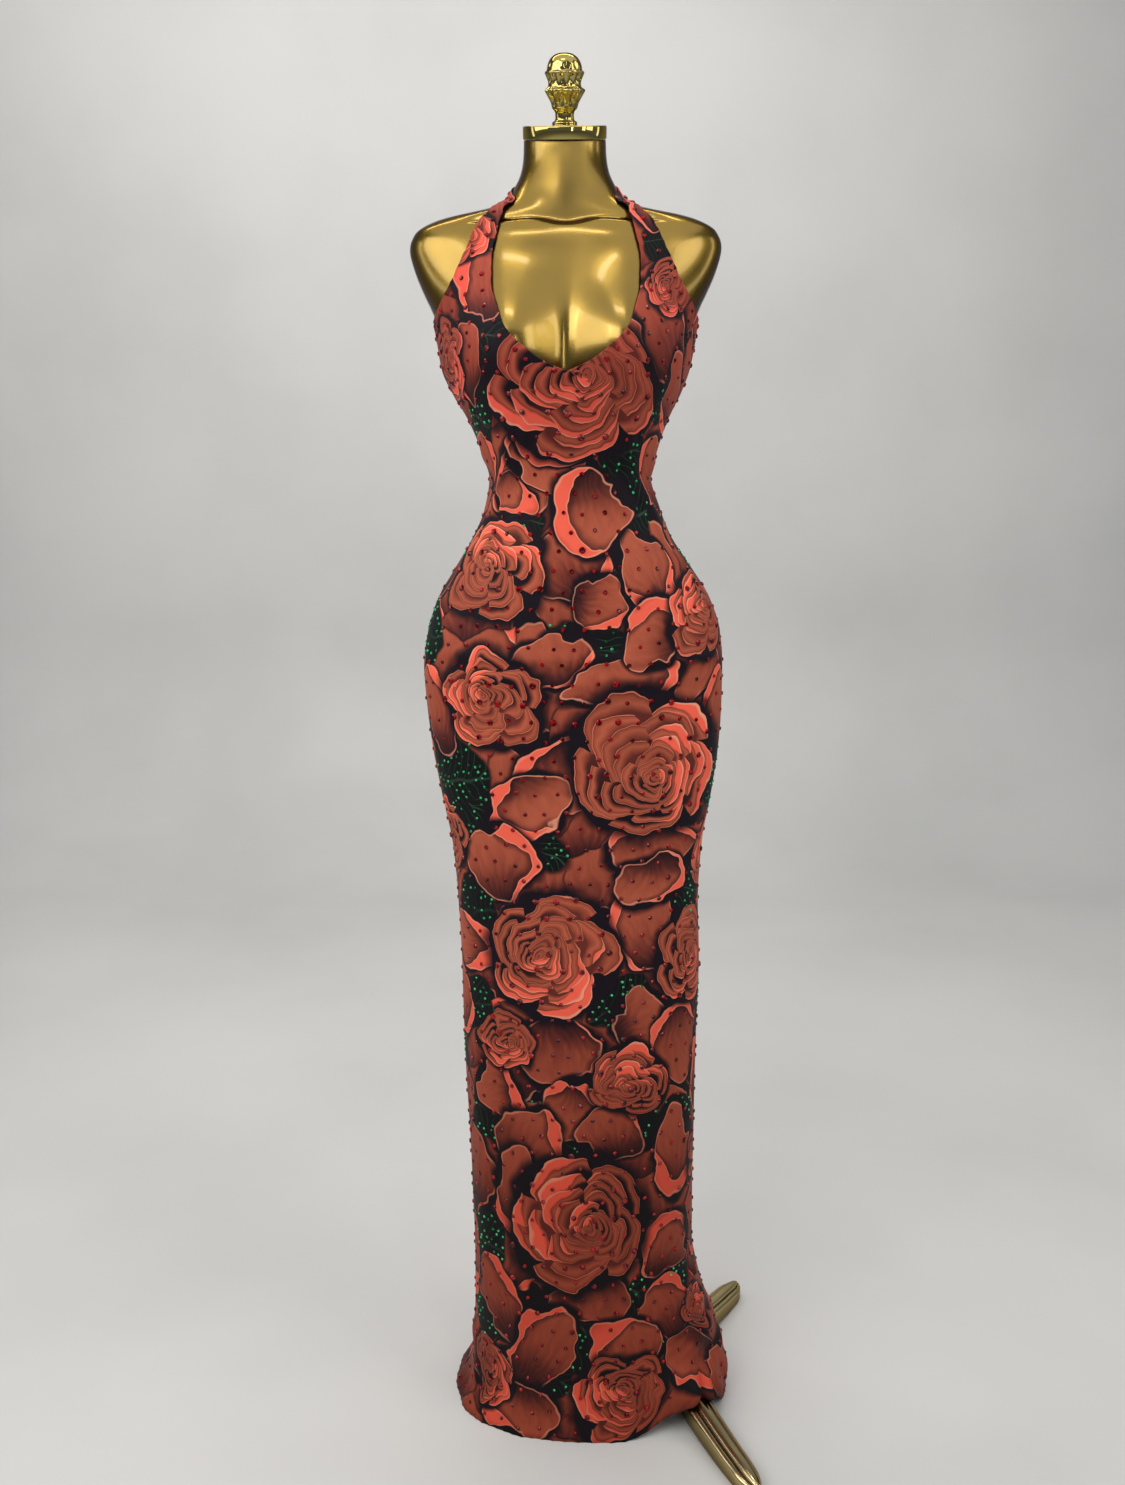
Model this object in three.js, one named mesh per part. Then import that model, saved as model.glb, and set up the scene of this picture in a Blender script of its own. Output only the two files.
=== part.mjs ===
// Floor-length halter dress on a limbless gold dress form with a three-legged stand.
// Millimetres, +Z up, front towards -Y. The form's neck stands on the Z axis while it is drawn,
// and the group is then centred over its own floor outline.
import * as THREE from 'three';
import { mergeVertices } from 'three/addons/utils/BufferGeometryUtils.js';

// Driving dimensions
const clothWall = 1.5;          // cloth thickness
const torsoEase = 0.8;          // cloth clear of the form from waist to thigh
const bodiceEase = 2.3;         // cloth clear of the form over the bust and shoulders
const seamGap = 0.3;            // between two pieces at a seam or a seat
const columnsPerHalf = 12;      // wall columns from centre to side seam
const formBase = 600;           // height of the form's flat underside
const neckTop = 1578;           // height of the middle of the form's neck end
const neckLean = 17;            // degrees that the neck's end, its cap and the finial lean forward
const leanFrom = 1544;          // height where the neck's rows begin to lean
const capHeight = 14;
const capRadius = 48;
const bust = { across: 70, height: 1335, reach: 45 };
const bustFall = { valley: 52, side: 62, above: 80, below: 52, clothBelow: 82 };   // how far each slope runs
const valleyRound = 6;          // softens the bottom of the valley
const sideFade = 1.6;           // fades the bust out towards the side seams
const easeChange = { from: 1235, to: 1300 };     // heights between which the ease grows
const levelBelow = 450;         // under this height the cloth's thickness is measured level
const slopedAbove = 700;        // over this one it is measured square to the cloth
const rodRadius = 12;
const hub = { x: 115, y: -15, radius: 26, low: 28, high: 62 };
const legBearings = { stand_leg_front: -64.5, stand_leg_back: 55.5, stand_leg_left: 175.5 };

const gold = { color: 0xb98a2c, roughness: 0.28, metalness: 0.9 };
const brightGold = { color: 0xd8b45a, roughness: 0.15, metalness: 1 };
const printedCloth = { color: 0x8e3a30, roughness: 0.75, metalness: 0 };

// Level sections of the figure: half widths to its right (left) and left (right) hand in the view,
// depths to front and back of the neck axis, and the roundness of the section (2 is an ellipse).
const sections = [
  { z: 0, left: 153, right: 200, front: 126, back: 122, power: 2.4 },
  { z: 20, left: 141, right: 198, front: 120, back: 118, power: 2.4 },
  { z: 45, left: 134, right: 194, front: 114, back: 114, power: 2.45 },
  { z: 90, left: 131, right: 184, front: 106, back: 108, power: 2.5 },
  { z: 150, left: 129, right: 165, front: 101, back: 103, power: 2.5 },
  { z: 220, left: 129, right: 153, front: 99, back: 100, power: 2.5 },
  { z: 300, left: 130, right: 154, front: 98, back: 99, power: 2.5 },
  { z: 500, left: 136, right: 157, front: 96, back: 98, power: 2.5 },
  { z: 600, left: 137, right: 160, front: 95, back: 97, power: 2.5 },
  { z: 680, left: 140, right: 158, front: 94, back: 98, power: 2.4 },
  { z: 750, left: 145, right: 162, front: 95, back: 102, power: 2.35 },
  { z: 820, left: 158, right: 174, front: 97, back: 112, power: 2.3 },
  { z: 880, left: 168, right: 182, front: 98, back: 124, power: 2.25 },
  { z: 930, left: 173, right: 185, front: 98, back: 134, power: 2.2 },
  { z: 975, left: 175.5, right: 185.5, front: 97, back: 138, power: 2.2 },
  { z: 1015, left: 170, right: 182, front: 96, back: 135, power: 2.2 },
  { z: 1055, left: 157, right: 169, front: 95, back: 124, power: 2.2 },
  { z: 1092, left: 135, right: 146, front: 93, back: 108, power: 2.15 },
  { z: 1130, left: 112, right: 121, front: 90, back: 92, power: 2.1 },
  { z: 1165, left: 97, right: 107, front: 88, back: 82, power: 2.1 },
  { z: 1200, left: 91, right: 97, front: 88, back: 80, power: 2.1 },
  { z: 1235, left: 101, right: 106, front: 91, back: 84, power: 2.1 },
  { z: 1270, left: 115, right: 118, front: 95, back: 90, power: 2.2 },
  { z: 1300, left: 132, right: 132, front: 97, back: 96, power: 2.2 },
  { z: 1325, left: 143, right: 141, front: 97, back: 100, power: 2.3 },
  { z: 1350, left: 147, right: 146, front: 96, back: 102, power: 2.3 },
  { z: 1380, left: 152, right: 151, front: 92, back: 101, power: 2.3 },
  { z: 1405, left: 164, right: 163, front: 87, back: 97, power: 2.3 },
  { z: 1435, left: 176, right: 176, front: 81, back: 90, power: 2.3 },
  { z: 1458, left: 181, right: 181, front: 76, back: 82, power: 2.3 },
  { z: 1474, left: 175, right: 175, front: 70, back: 74, power: 2.3 },
  { z: 1486, left: 156, right: 156, front: 64, back: 66, power: 2.2 },
  { z: 1492, left: 132, right: 132, front: 60, back: 62, power: 2.1 },
  { z: 1498, left: 96, right: 96, front: 58, back: 60, power: 2 },
  { z: 1509, left: 70, right: 70, front: 57, back: 62, power: 2 },
  { z: 1526, left: 58, right: 58, front: 53, back: 56, power: 2 },
  { z: 1548, left: 48, right: 48, front: 48, back: 49, power: 2 },
  { z: 1578, left: 47, right: 47, front: 45, back: 45, power: 2 },
];

// Heights of the panel rows from the hem to the point of the V neckline.
const skirtHeights = [
  0, 20, 45, 90, 150, 220, 300, 400, 500, 600, 680, 750, 820, 880, 930, 957, 975, 993,
  1025, 1055, 1092, 1130, 1165, 1200, 1235, 1260, 1284, 1307,
];

// Front panel above the point of the V: neckline edge (in) and armhole edge (out), then the strap
// up over the shoulder and round the neck to the nape.
const bodiceRows = [
  { inDeg: 8.5, inZ: 1318, outDeg: 90, outZ: 1326 },
  { inDeg: 14, inZ: 1329, outDeg: 90, outZ: 1346 },
  { inDeg: 20, inZ: 1342, outDeg: 90, outZ: 1362 },
  { inDeg: 24, inZ: 1356, outDeg: 86, outZ: 1373 },
  { inDeg: 26, inZ: 1373, outDeg: 69, outZ: 1384 },
  { inDeg: 27, inZ: 1393, outDeg: 55, outZ: 1397 },
  { inDeg: 25.5, inZ: 1414, outDeg: 45, outZ: 1413 },
  { inDeg: 23.8, inZ: 1438, outDeg: 36.5, outZ: 1437 },
  { inDeg: 21.8, inZ: 1456, outDeg: 31.8, outZ: 1457 },
  { inDeg: 21.3, inZ: 1470, outDeg: 29.8, outZ: 1475 },
  { inDeg: 22, inZ: 1481, outDeg: 30, outZ: 1485 },
  { inDeg: 27, inZ: 1490, outDeg: 37, outZ: 1493 },
  { inDeg: 37, inZ: 1498, outDeg: 52, outZ: 1500 },
  { inDeg: 51, inZ: 1513, outDeg: 69, outZ: 1507 },
  { inDeg: 72, inZ: 1525, outDeg: 87, outZ: 1511 },
  { inDeg: 95, inZ: 1533, outDeg: 103, outZ: 1515 },
  { inDeg: 115, inZ: 1538, outDeg: 120, outZ: 1518 },
  { inDeg: 136, inZ: 1541, outDeg: 138, outZ: 1520 },
  { inDeg: 158, inZ: 1542, outDeg: 159, outZ: 1521 },
  { inDeg: 180, inZ: 1542, outDeg: 180, outZ: 1521 },
];

// Back panel above its straight rows: the top edge dips from the side seams to the middle.
const backTop = { side: 1366, middle: 1280, scoop: 1.3 };
const backLevel = 1235;         // the back's rows are level up to here
const backRowsAbove = 6;

// The largest folds and drags, as soft ridges between two places on the figure (front is 0 degrees,
// the view's right is positive).
const folds = [
  { name: 'under bust, left', fromDeg: -33, fromZ: 1262, toDeg: -58, toZ: 1172, width: 15, rise: 4.5 },
  { name: 'under bust, right', fromDeg: 33, fromZ: 1252, toDeg: 62, toZ: 1150, width: 15, rise: 4.5 },
  { name: 'waist drag, left', fromDeg: -18, fromZ: 1228, toDeg: -44, toZ: 1168, width: 12, rise: 2.5 },
  { name: 'hip crease', fromDeg: -70, fromZ: 993, toDeg: 66, toZ: 990, width: 12, rise: 2.5 },
  { name: 'hem lobe, left', fromDeg: -95, fromZ: 0, toDeg: -62, toZ: 0, width: 26, rise: 5 },
  { name: 'hem over the leg', fromDeg: 52, fromZ: 40, toDeg: 74, toZ: 60, width: 30, rise: 16 },
  { name: 'crumple over the leg', fromDeg: 40, fromZ: 118, toDeg: 78, toZ: 132, width: 16, rise: 6 },
  { name: 'back waist drag, left', fromDeg: -140, fromZ: 1165, toDeg: -112, toZ: 1205, width: 14, rise: 3 },
  { name: 'back waist drag, right', fromDeg: 140, fromZ: 1165, toDeg: 112, toZ: 1205, width: 14, rise: 3 },
];
const degreeWidth = 2.2;        // millimetres round the figure for one degree, for the folds' widths

// Where the hem is lifted to pass over two legs of the stand.
const hemArches = [
  { deg: 47, lift: 48, halfWidth: 37 },
  { deg: 124, lift: 50, halfWidth: 36 },
];
const hemArchFade = 240;        // height at which the arches no longer bend the rows

// The form: heights of its rows over the skirt's, and its slimmer thigh with a rounded lower edge.
const formHeights = [
  1322, 1337, 1352, 1366, 1376, 1386, 1398, 1412, 1430, 1446, 1460, 1472, 1481, 1487, 1492, 1498, 1504,
  1511, 1522, 1536, 1552, neckTop,
];
const thigh = { inset: 7, slimBelow: 860, edge: 9 };

// Round profiles as radius and height above the piece's base.
const finialProfile = [
  { r: 0, z: 0 }, { r: 14.5, z: 0 }, { r: 14.5, z: 3.7 }, { r: 11, z: 5.5 }, { r: 10.5, z: 13.8 },
  { r: 13.8, z: 17.5 }, { r: 14, z: 22 }, { r: 18.5, z: 28.5 }, { r: 21.5, z: 35 }, { r: 20.5, z: 38.5 },
  { r: 17.5, z: 40.5 }, { r: 19, z: 47.8 }, { r: 20.5, z: 52.4 }, { r: 20, z: 55 }, { r: 17.75, z: 57.8 },
  { r: 16.5, z: 63.4 }, { r: 12.5, z: 68.9 }, { r: 6.5, z: 71.9 }, { r: 0, z: 72.5 },
];
const capProfile = [
  { r: 0, z: 0 }, { r: capRadius - 1, z: 0 }, { r: capRadius, z: 1 }, { r: capRadius, z: capHeight - 1.5 },
  { r: capRadius - 1.5, z: capHeight }, { r: 0, z: capHeight },
];
const hubProfile = [
  { r: 0, z: 0 }, { r: 20, z: 0 }, { r: hub.radius, z: 5 }, { r: hub.radius, z: 28 }, { r: 22, z: 33 },
  { r: 18, z: hub.high - hub.low }, { r: 0, z: hub.high - hub.low },
];

// One leg of the stand along its length from the hub's axis.
const legStations = [
  { reach: hub.radius + seamGap, halfWidth: 16, under: 32, top: 54 },
  { reach: 70, halfWidth: 17.5, under: 18, top: 46.5 },
  { reach: 120, halfWidth: 17, under: 7, top: 38.5 },
  { reach: 165, halfWidth: 16, under: 1.5, top: 31 },
  { reach: 190, halfWidth: 15.5, under: 0, top: 28 },
  { reach: 222, halfWidth: 14, under: 0, top: 23 },
  { reach: 231, halfWidth: 9, under: 0, top: 18.5 },
];
const legShoulder = 7;          // drop from the leg's ridge to its side edges
const legRidge = 0.28;          // share of the half width taken by the flat ridge

const radians = THREE.MathUtils.degToRad;
const fields = ['left', 'right', 'front', 'back', 'power'];

// Slope of one field at a section, flat where the figure turns, so that no bulge overshoots.
function fieldSlope(field, index) {
  const step = (low, high) =>
    (sections[high][field] - sections[low][field]) / (sections[high].z - sections[low].z);
  if (index === 0) return step(0, 1);
  if (index === sections.length - 1) return step(index - 1, index);
  const below = step(index - 1, index);
  const above = step(index, index + 1);
  return below * above <= 0 ? 0 : (2 * below * above) / (below + above);
}

const slopes = sections.map((_, index) => Object.fromEntries(fields.map((f) => [f, fieldSlope(f, index)])));

function sectionAt(height) {
  const z = THREE.MathUtils.clamp(height, sections[0].z, sections.at(-1).z);
  const index = Math.min(sections.findLastIndex((row) => row.z <= z), sections.length - 2);
  const low = sections[index];
  const high = sections[index + 1];
  const span = high.z - low.z;
  const t = (z - low.z) / span;
  const section = {};
  for (const field of fields) {
    section[field] =
      (2 * t ** 3 - 3 * t ** 2 + 1) * low[field] + (t ** 3 - 2 * t ** 2 + t) * span * slopes[index][field] +
      (3 * t ** 2 - 2 * t ** 3) * high[field] + (t ** 3 - t ** 2) * span * slopes[index + 1][field];
  }
  return section;
}

const bell = (distance, width) => Math.exp(-((distance / width) ** 2));
const signedPower = (value, exponent) => Math.sign(value) * Math.abs(value) ** exponent;

// Bust on the general figure. Cloth spans the valley between the two sides and hangs off below them.
function bustReach(x, z, isCloth) {
  const across = Math.hypot(x, valleyRound) - bust.across;
  const inward = isCloth ? 1 : bell(across, bustFall.valley);
  const sideways = across < 0 ? inward : bell(across, bustFall.side);
  const below = isCloth ? bustFall.clothBelow : bustFall.below;
  const rise = z - bust.height;
  return bust.reach * sideways * bell(rise, rise > 0 ? bustFall.above : below);
}

// Point of the figure at an angle from the front and a height.
function figurePoint(deg, z, isCloth) {
  const row = sectionAt(z);
  const forward = Math.cos(radians(deg));
  const across = Math.sin(radians(deg));
  const exponent = 2 / row.power;
  const x = (row.right - row.left) / 2 + ((row.right + row.left) / 2) * signedPower(across, exponent);
  let y = -(forward > 0 ? row.front : row.back) * signedPower(forward, exponent);
  if (forward > 0) y -= bustReach(x, z, isCloth) * Math.min(1, forward * sideFade);
  return new THREE.Vector3(x, y, z);
}

function figureNormal(deg, z, isCloth) {
  const turn = 0.4;
  const lift = 1;
  const around = figurePoint(deg + turn, z, isCloth).sub(figurePoint(deg - turn, z, isCloth));
  const upward = figurePoint(deg, z + lift, isCloth).sub(figurePoint(deg, z - lift, isCloth));
  const normal = around.cross(upward);
  normal.z *= THREE.MathUtils.smoothstep(z, levelBelow, slopedAbove);
  return normal.normalize();
}

function foldRise(deg, z) {
  let rise = 0;
  for (const fold of folds) {
    const along = new THREE.Vector2((fold.toDeg - fold.fromDeg) * degreeWidth, fold.toZ - fold.fromZ);
    const turned = deg - 360 * Math.round((deg - fold.fromDeg) / 360);
    const here = new THREE.Vector2((turned - fold.fromDeg) * degreeWidth, z - fold.fromZ);
    const share = THREE.MathUtils.clamp(here.dot(along) / along.lengthSq(), 0, 1);
    rise += fold.rise * bell(here.addScaledVector(along, -share).length(), fold.width);
  }
  return rise;
}

function hemLift(deg, z) {
  let lift = 0;
  for (const arch of hemArches) {
    const apart = Math.abs(deg - arch.deg) / arch.halfWidth;
    if (apart < 1) lift += arch.lift * Math.cos((apart * Math.PI) / 2) ** 2;
  }
  return lift * Math.max(0, 1 - z / hemArchFade);
}

// Inner and outer point of the cloth wall at an angle and a height.
function clothPair(deg, z) {
  const height = z + hemLift(((deg + 540) % 360) - 180, z);
  const easeShare = THREE.MathUtils.smoothstep(height, easeChange.from, easeChange.to);
  const ease = THREE.MathUtils.lerp(torsoEase, bodiceEase, easeShare);
  const base = figurePoint(deg, height, true);
  const normal = figureNormal(deg, height, true);
  const stand = ease + foldRise(deg, height);
  return {
    inner: base.clone().addScaledVector(normal, stand),
    outer: base.clone().addScaledVector(normal, stand + clothWall),
  };
}

// Closed mesh from loose triangles of Vector3.
function closedGeometry(triangles) {
  const geometry = new THREE.BufferGeometry().setFromPoints(triangles.flat());
  return mergeVertices(geometry, 1e-4);
}

function quad(triangles, a, b, c, d) {
  triangles.push([a, b, c], [a, c, d]);
}

// Wall between two grids of pairs; openFrom is the first row whose first column is a free edge.
function addWall(triangles, grid, flip, openFrom) {
  const rows = grid.length;
  const columns = grid[0].length;
  const put = (a, b, c, d) => (flip ? quad(triangles, d, c, b, a) : quad(triangles, a, b, c, d));
  for (let i = 0; i < rows - 1; i += 1) {
    for (let j = 0; j < columns - 1; j += 1) {
      const [a, b, c, d] = [grid[i][j], grid[i][j + 1], grid[i + 1][j + 1], grid[i + 1][j]];
      put(a.outer, b.outer, c.outer, d.outer);
      put(d.inner, c.inner, b.inner, a.inner);
    }
    const edge = [grid[i][columns - 1], grid[i + 1][columns - 1]];
    put(edge[0].outer, edge[0].inner, edge[1].inner, edge[1].outer);
    if (i >= openFrom) put(grid[i][0].inner, grid[i][0].outer, grid[i + 1][0].outer, grid[i + 1][0].inner);
  }
  for (let j = 0; j < columns - 1; j += 1) {
    put(grid[0][j].inner, grid[0][j + 1].inner, grid[0][j + 1].outer, grid[0][j].outer);
    const top = grid[rows - 1];
    put(top[j].outer, top[j + 1].outer, top[j + 1].inner, top[j].inner);
  }
}

const shifted = (pair, axis, amount) => {
  for (const point of [pair.inner, pair.outer]) point[axis] += amount;
  return pair;
};

// Row of cloth pairs between two places, with the far end held back from a seam.
function clothRow(from, to, trim) {
  return Array.from({ length: columnsPerHalf + 1 }, (_, j) => {
    const share = j / columnsPerHalf;
    const deg = THREE.MathUtils.lerp(from.deg, to.deg, share);
    const pair = clothPair(deg, THREE.MathUtils.lerp(from.z, to.z, share));
    return trim && j === columnsPerHalf ? shifted(pair, trim.axis, trim.amount) : pair;
  });
}

function frontHalf(side) {
  const seamTrim = { axis: 'y', amount: -seamGap / 2 };
  const skirt = skirtHeights.map((z) => clothRow({ deg: 0, z }, { deg: side * 90, z }, seamTrim));
  const bodice = bodiceRows.map((row) => {
    const trim = row.outDeg === 90 ? seamTrim : null;
    const neckEdge = { deg: side * row.inDeg, z: row.inZ };
    const cloth = clothRow(neckEdge, { deg: side * row.outDeg, z: row.outZ }, trim);
    if (row.inDeg === 180) cloth.forEach((pair) => shifted(pair, 'x', (side * seamGap) / 2));
    return cloth;
  });
  return [...skirt, ...bodice];
}

function dressFront() {
  const triangles = [];
  for (const side of [-1, 1]) addWall(triangles, frontHalf(side), side < 0, skirtHeights.length - 1);
  return closedGeometry(triangles);
}

function dressBack() {
  const levels = skirtHeights.filter((z) => z <= backLevel);
  const triangles = [];
  const columns = 2 * columnsPerHalf;
  const place = (j) => 90 + (180 * j) / columns;
  const dip = (deg) => Math.sin(radians(deg - 90)) ** backTop.scoop;
  const topAt = (deg) => THREE.MathUtils.lerp(backTop.side, backTop.middle, dip(deg));
  const rowAt = (heightAt) =>
    Array.from({ length: columns + 1 }, (_, j) => {
      const pair = clothPair(place(j), heightAt(place(j)));
      return j === 0 || j === columns ? shifted(pair, 'y', seamGap / 2) : pair;
    });
  const grid = levels.map((z) => rowAt(() => z));
  for (let k = 1; k <= backRowsAbove; k += 1) {
    grid.push(rowAt((deg) => THREE.MathUtils.lerp(backLevel, topAt(deg), k / backRowsAbove)));
  }
  addWall(triangles, grid, false, 0);
  return closedGeometry(triangles);
}

// Closed solid through a stack of rings, lowest first, each ring counter-clockwise from above.
function loft(rings) {
  const triangles = [];
  const count = rings[0].length;
  const middle = (ring) => ring.reduce((sum, p) => sum.add(p), new THREE.Vector3()).divideScalar(count);
  const ends = [middle(rings[0]), middle(rings.at(-1))];
  for (let j = 0; j < count; j += 1) {
    const next = (j + 1) % count;
    triangles.push([ends[0], rings[0][next], rings[0][j]]);
    triangles.push([ends[1], rings.at(-1)[j], rings.at(-1)[next]]);
    for (let i = 0; i < rings.length - 1; i += 1) {
      quad(triangles, rings[i][j], rings[i][next], rings[i + 1][next], rings[i + 1][j]);
    }
  }
  return closedGeometry(triangles);
}

function formTorso() {
  const columns = 4 * columnsPerHalf;
  const ring = (z, inset) =>
    Array.from({ length: columns }, (_, j) => {
      const point = figurePoint((360 * j) / columns, z, false);
      const section = sectionAt(z);
      const middle = new THREE.Vector3((section.right - section.left) / 2, 0, z);
      const away = point.sub(middle);
      const place = middle.addScaledVector(away, 1 - inset / away.length());
      place.z += place.y * Math.tan(radians(neckLean)) * THREE.MathUtils.smoothstep(z, leanFrom, neckTop);
      return place;
    });
  const insetAt = (z) => thigh.inset * (1 - THREE.MathUtils.smoothstep(z, formBase, thigh.slimBelow));
  const heights = [formBase + thigh.edge, ...skirtHeights.filter((z) => z > formBase), ...formHeights];
  return loft([
    ring(formBase, thigh.inset + thigh.edge),
    ring(formBase + 0.3 * thigh.edge, thigh.inset + 0.3 * thigh.edge),
    ...heights.map((z) => ring(z, insetAt(z))),
  ]);
}

// Turned piece about a vertical axis.
function turned(profile, segments, base) {
  const points = profile.map((point) => new THREE.Vector2(point.r, point.z));
  const geometry = new THREE.LatheGeometry(points, segments);
  for (const name of ['normal', 'uv']) geometry.deleteAttribute(name);
  geometry.rotateX(Math.PI / 2);
  geometry.translate(0, 0, base);
  return mergeVertices(geometry, 1e-4);
}

// Leg of the stand, drawn along +X from the hub's axis: a bar with a raised ridge and a flat foot.
function standLeg() {
  const rings = legStations.map((station) => {
    const side = station.top - legShoulder;
    const corners = [
      [-station.halfWidth, station.under], [station.halfWidth, station.under], [station.halfWidth, side],
      [legRidge * station.halfWidth, station.top], [-legRidge * station.halfWidth, station.top],
      [-station.halfWidth, side],
    ];
    return corners.map(([y, z]) => new THREE.Vector3(station.reach, y, z));
  });
  return loft(rings);
}

function namedMesh(name, geometry, finish) {
  const mesh = new THREE.Mesh(geometry, new THREE.MeshStandardMaterial(finish));
  mesh.name = name;
  return mesh;
}

const dressOnForm = new THREE.Group();
dressOnForm.add(
  namedMesh('dress_front', dressFront(), printedCloth),
  namedMesh('dress_back', dressBack(), printedCloth),
  namedMesh('form_torso', formTorso(), gold),
);

const neckPieces = new THREE.Group();
neckPieces.add(
  namedMesh('neck_cap', turned(capProfile, 36, seamGap), brightGold),
  namedMesh('neck_finial', turned(finialProfile, 20, capHeight + 2 * seamGap), brightGold),
);
neckPieces.rotation.x = radians(neckLean);
neckPieces.position.z = neckTop;
dressOnForm.add(neckPieces);

const stand = new THREE.Group();
const rodLength = formBase - hub.high - 2 * seamGap;
const rodProfile = [
  { r: 0, z: 0 }, { r: rodRadius, z: 0 }, { r: rodRadius, z: rodLength }, { r: 0, z: rodLength },
];
stand.add(
  namedMesh('stand_hub', turned(hubProfile, 24, hub.low), brightGold),
  namedMesh('stand_rod', turned(rodProfile, 20, hub.high + seamGap), brightGold),
);
for (const [name, bearing] of Object.entries(legBearings)) {
  const leg = namedMesh(name, standLeg(), brightGold);
  leg.rotation.z = radians(bearing);
  stand.add(leg);
}
stand.position.set(hub.x, hub.y, 0);
dressOnForm.add(stand);

// Centre the whole over its own floor outline.
dressOnForm.updateMatrixWorld(true);
const outline = new THREE.Box3().setFromObject(dressOnForm, true);
dressOnForm.position.set(-(outline.min.x + outline.max.x) / 2, -(outline.min.y + outline.max.y) / 2, 0);

export default dressOnForm;
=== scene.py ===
import math
from functools import partial

import bpy
import numpy as np
from mathutils import Matrix, Vector


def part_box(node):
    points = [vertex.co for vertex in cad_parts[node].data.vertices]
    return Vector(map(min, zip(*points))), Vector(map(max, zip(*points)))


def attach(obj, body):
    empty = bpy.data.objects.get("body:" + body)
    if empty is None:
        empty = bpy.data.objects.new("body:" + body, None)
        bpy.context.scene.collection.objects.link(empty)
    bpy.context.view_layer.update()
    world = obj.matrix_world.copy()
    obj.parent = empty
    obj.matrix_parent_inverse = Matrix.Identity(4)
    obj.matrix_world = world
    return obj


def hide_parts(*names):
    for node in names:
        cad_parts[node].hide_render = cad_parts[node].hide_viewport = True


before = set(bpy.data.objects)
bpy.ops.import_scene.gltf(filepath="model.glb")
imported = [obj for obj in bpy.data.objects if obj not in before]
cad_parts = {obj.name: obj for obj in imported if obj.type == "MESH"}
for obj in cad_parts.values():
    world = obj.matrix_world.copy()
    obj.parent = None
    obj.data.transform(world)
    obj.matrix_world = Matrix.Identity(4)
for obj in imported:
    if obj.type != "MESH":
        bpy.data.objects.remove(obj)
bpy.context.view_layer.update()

# Halter maxi dress in a rose-printed knit with glass stones, on its gold dress form.
# Tables are in millimetres and degrees; degrees run round the form from the centre front,
# positive towards the right of the picture. Blender pieces are in metres.

mm = 0.001
rodFromAxis = Vector((115, -15, 0)) * mm        # the stand's rod is off to one side
rodCorners = [Vector(corner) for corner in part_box("stand_rod")]
formAxis = (rodCorners[0] + rodCorners[1]) / 2 - rodFromAxis
formAxis.z = 0
rng = np.random.default_rng(11)


def linear(red, green, blue, alpha=1.0):
    shades = [channel / 255 for channel in (red, green, blue)]
    curved = [s / 12.92 if s <= 0.04045 else ((s + 0.055) / 1.055) ** 2.4 for s in shades]
    return (*curved, alpha)


def smoothStep(value, low, high):
    share = np.clip((np.asarray(value, float) - low) / (high - low), 0, 1)
    return share * share * (3 - 2 * share)


def bell(distance, width):
    return np.exp(-((distance / width) ** 2))


# The figure, the same one that the frame's solids follow

figure = {
    "bustAcross": 70, "bustHeight": 1335, "bustReach": 45,
    "valley": 52, "valleyRound": 6, "side": 62, "above": 80, "below": 52, "clothBelow": 82,
    "sideFade": 1.6, "levelBelow": 450, "slopedAbove": 700,
}

# height, left, right, front, back, roundness
figureRows = np.array([
    (0, 153, 200, 126, 122, 2.4), (20, 141, 198, 120, 118, 2.4), (45, 134, 194, 114, 114, 2.45),
    (90, 131, 184, 106, 108, 2.5), (150, 129, 165, 101, 103, 2.5), (220, 129, 153, 99, 100, 2.5),
    (300, 130, 154, 98, 99, 2.5), (500, 136, 157, 96, 98, 2.5), (600, 137, 160, 95, 97, 2.5),
    (680, 140, 158, 94, 98, 2.4), (750, 145, 162, 95, 102, 2.35), (820, 158, 174, 97, 112, 2.3),
    (880, 168, 182, 98, 124, 2.25), (930, 173, 185, 98, 134, 2.2), (975, 175.5, 185.5, 97, 138, 2.2),
    (1015, 170, 182, 96, 135, 2.2), (1055, 157, 169, 95, 124, 2.2), (1092, 135, 146, 93, 108, 2.15),
    (1130, 112, 121, 90, 92, 2.1), (1165, 97, 107, 88, 82, 2.1), (1200, 91, 97, 88, 80, 2.1),
    (1235, 101, 106, 91, 84, 2.1), (1270, 115, 118, 95, 90, 2.2), (1300, 132, 132, 97, 96, 2.2),
    (1325, 143, 141, 97, 100, 2.3), (1350, 147, 146, 96, 102, 2.3), (1380, 152, 151, 92, 101, 2.3),
    (1405, 164, 163, 87, 97, 2.3), (1435, 176, 176, 81, 90, 2.3), (1458, 181, 181, 76, 82, 2.3),
    (1474, 175, 175, 70, 74, 2.3), (1486, 156, 156, 64, 66, 2.2), (1492, 132, 132, 60, 62, 2.1),
    (1498, 96, 96, 58, 60, 2), (1509, 70, 70, 57, 62, 2), (1526, 58, 58, 53, 56, 2),
    (1548, 48, 48, 48, 49, 2), (1578, 47, 47, 45, 45, 2),
])


def rowSlopes(rows):
    # flat where the figure turns, so that no bulge overshoots its own row
    steps = np.diff(rows[:, 1:], axis=0) / np.diff(rows[:, :1], axis=0)
    slopes = np.vstack([steps[:1], np.zeros_like(steps[1:]), steps[-1:]])
    product = steps[:-1] * steps[1:]
    total = np.where(steps[:-1] + steps[1:] == 0, 1, steps[:-1] + steps[1:])
    slopes[1:-1] = np.where(product > 0, 2 * product / total, 0)
    return slopes


figureSlopes = rowSlopes(figureRows)


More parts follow.
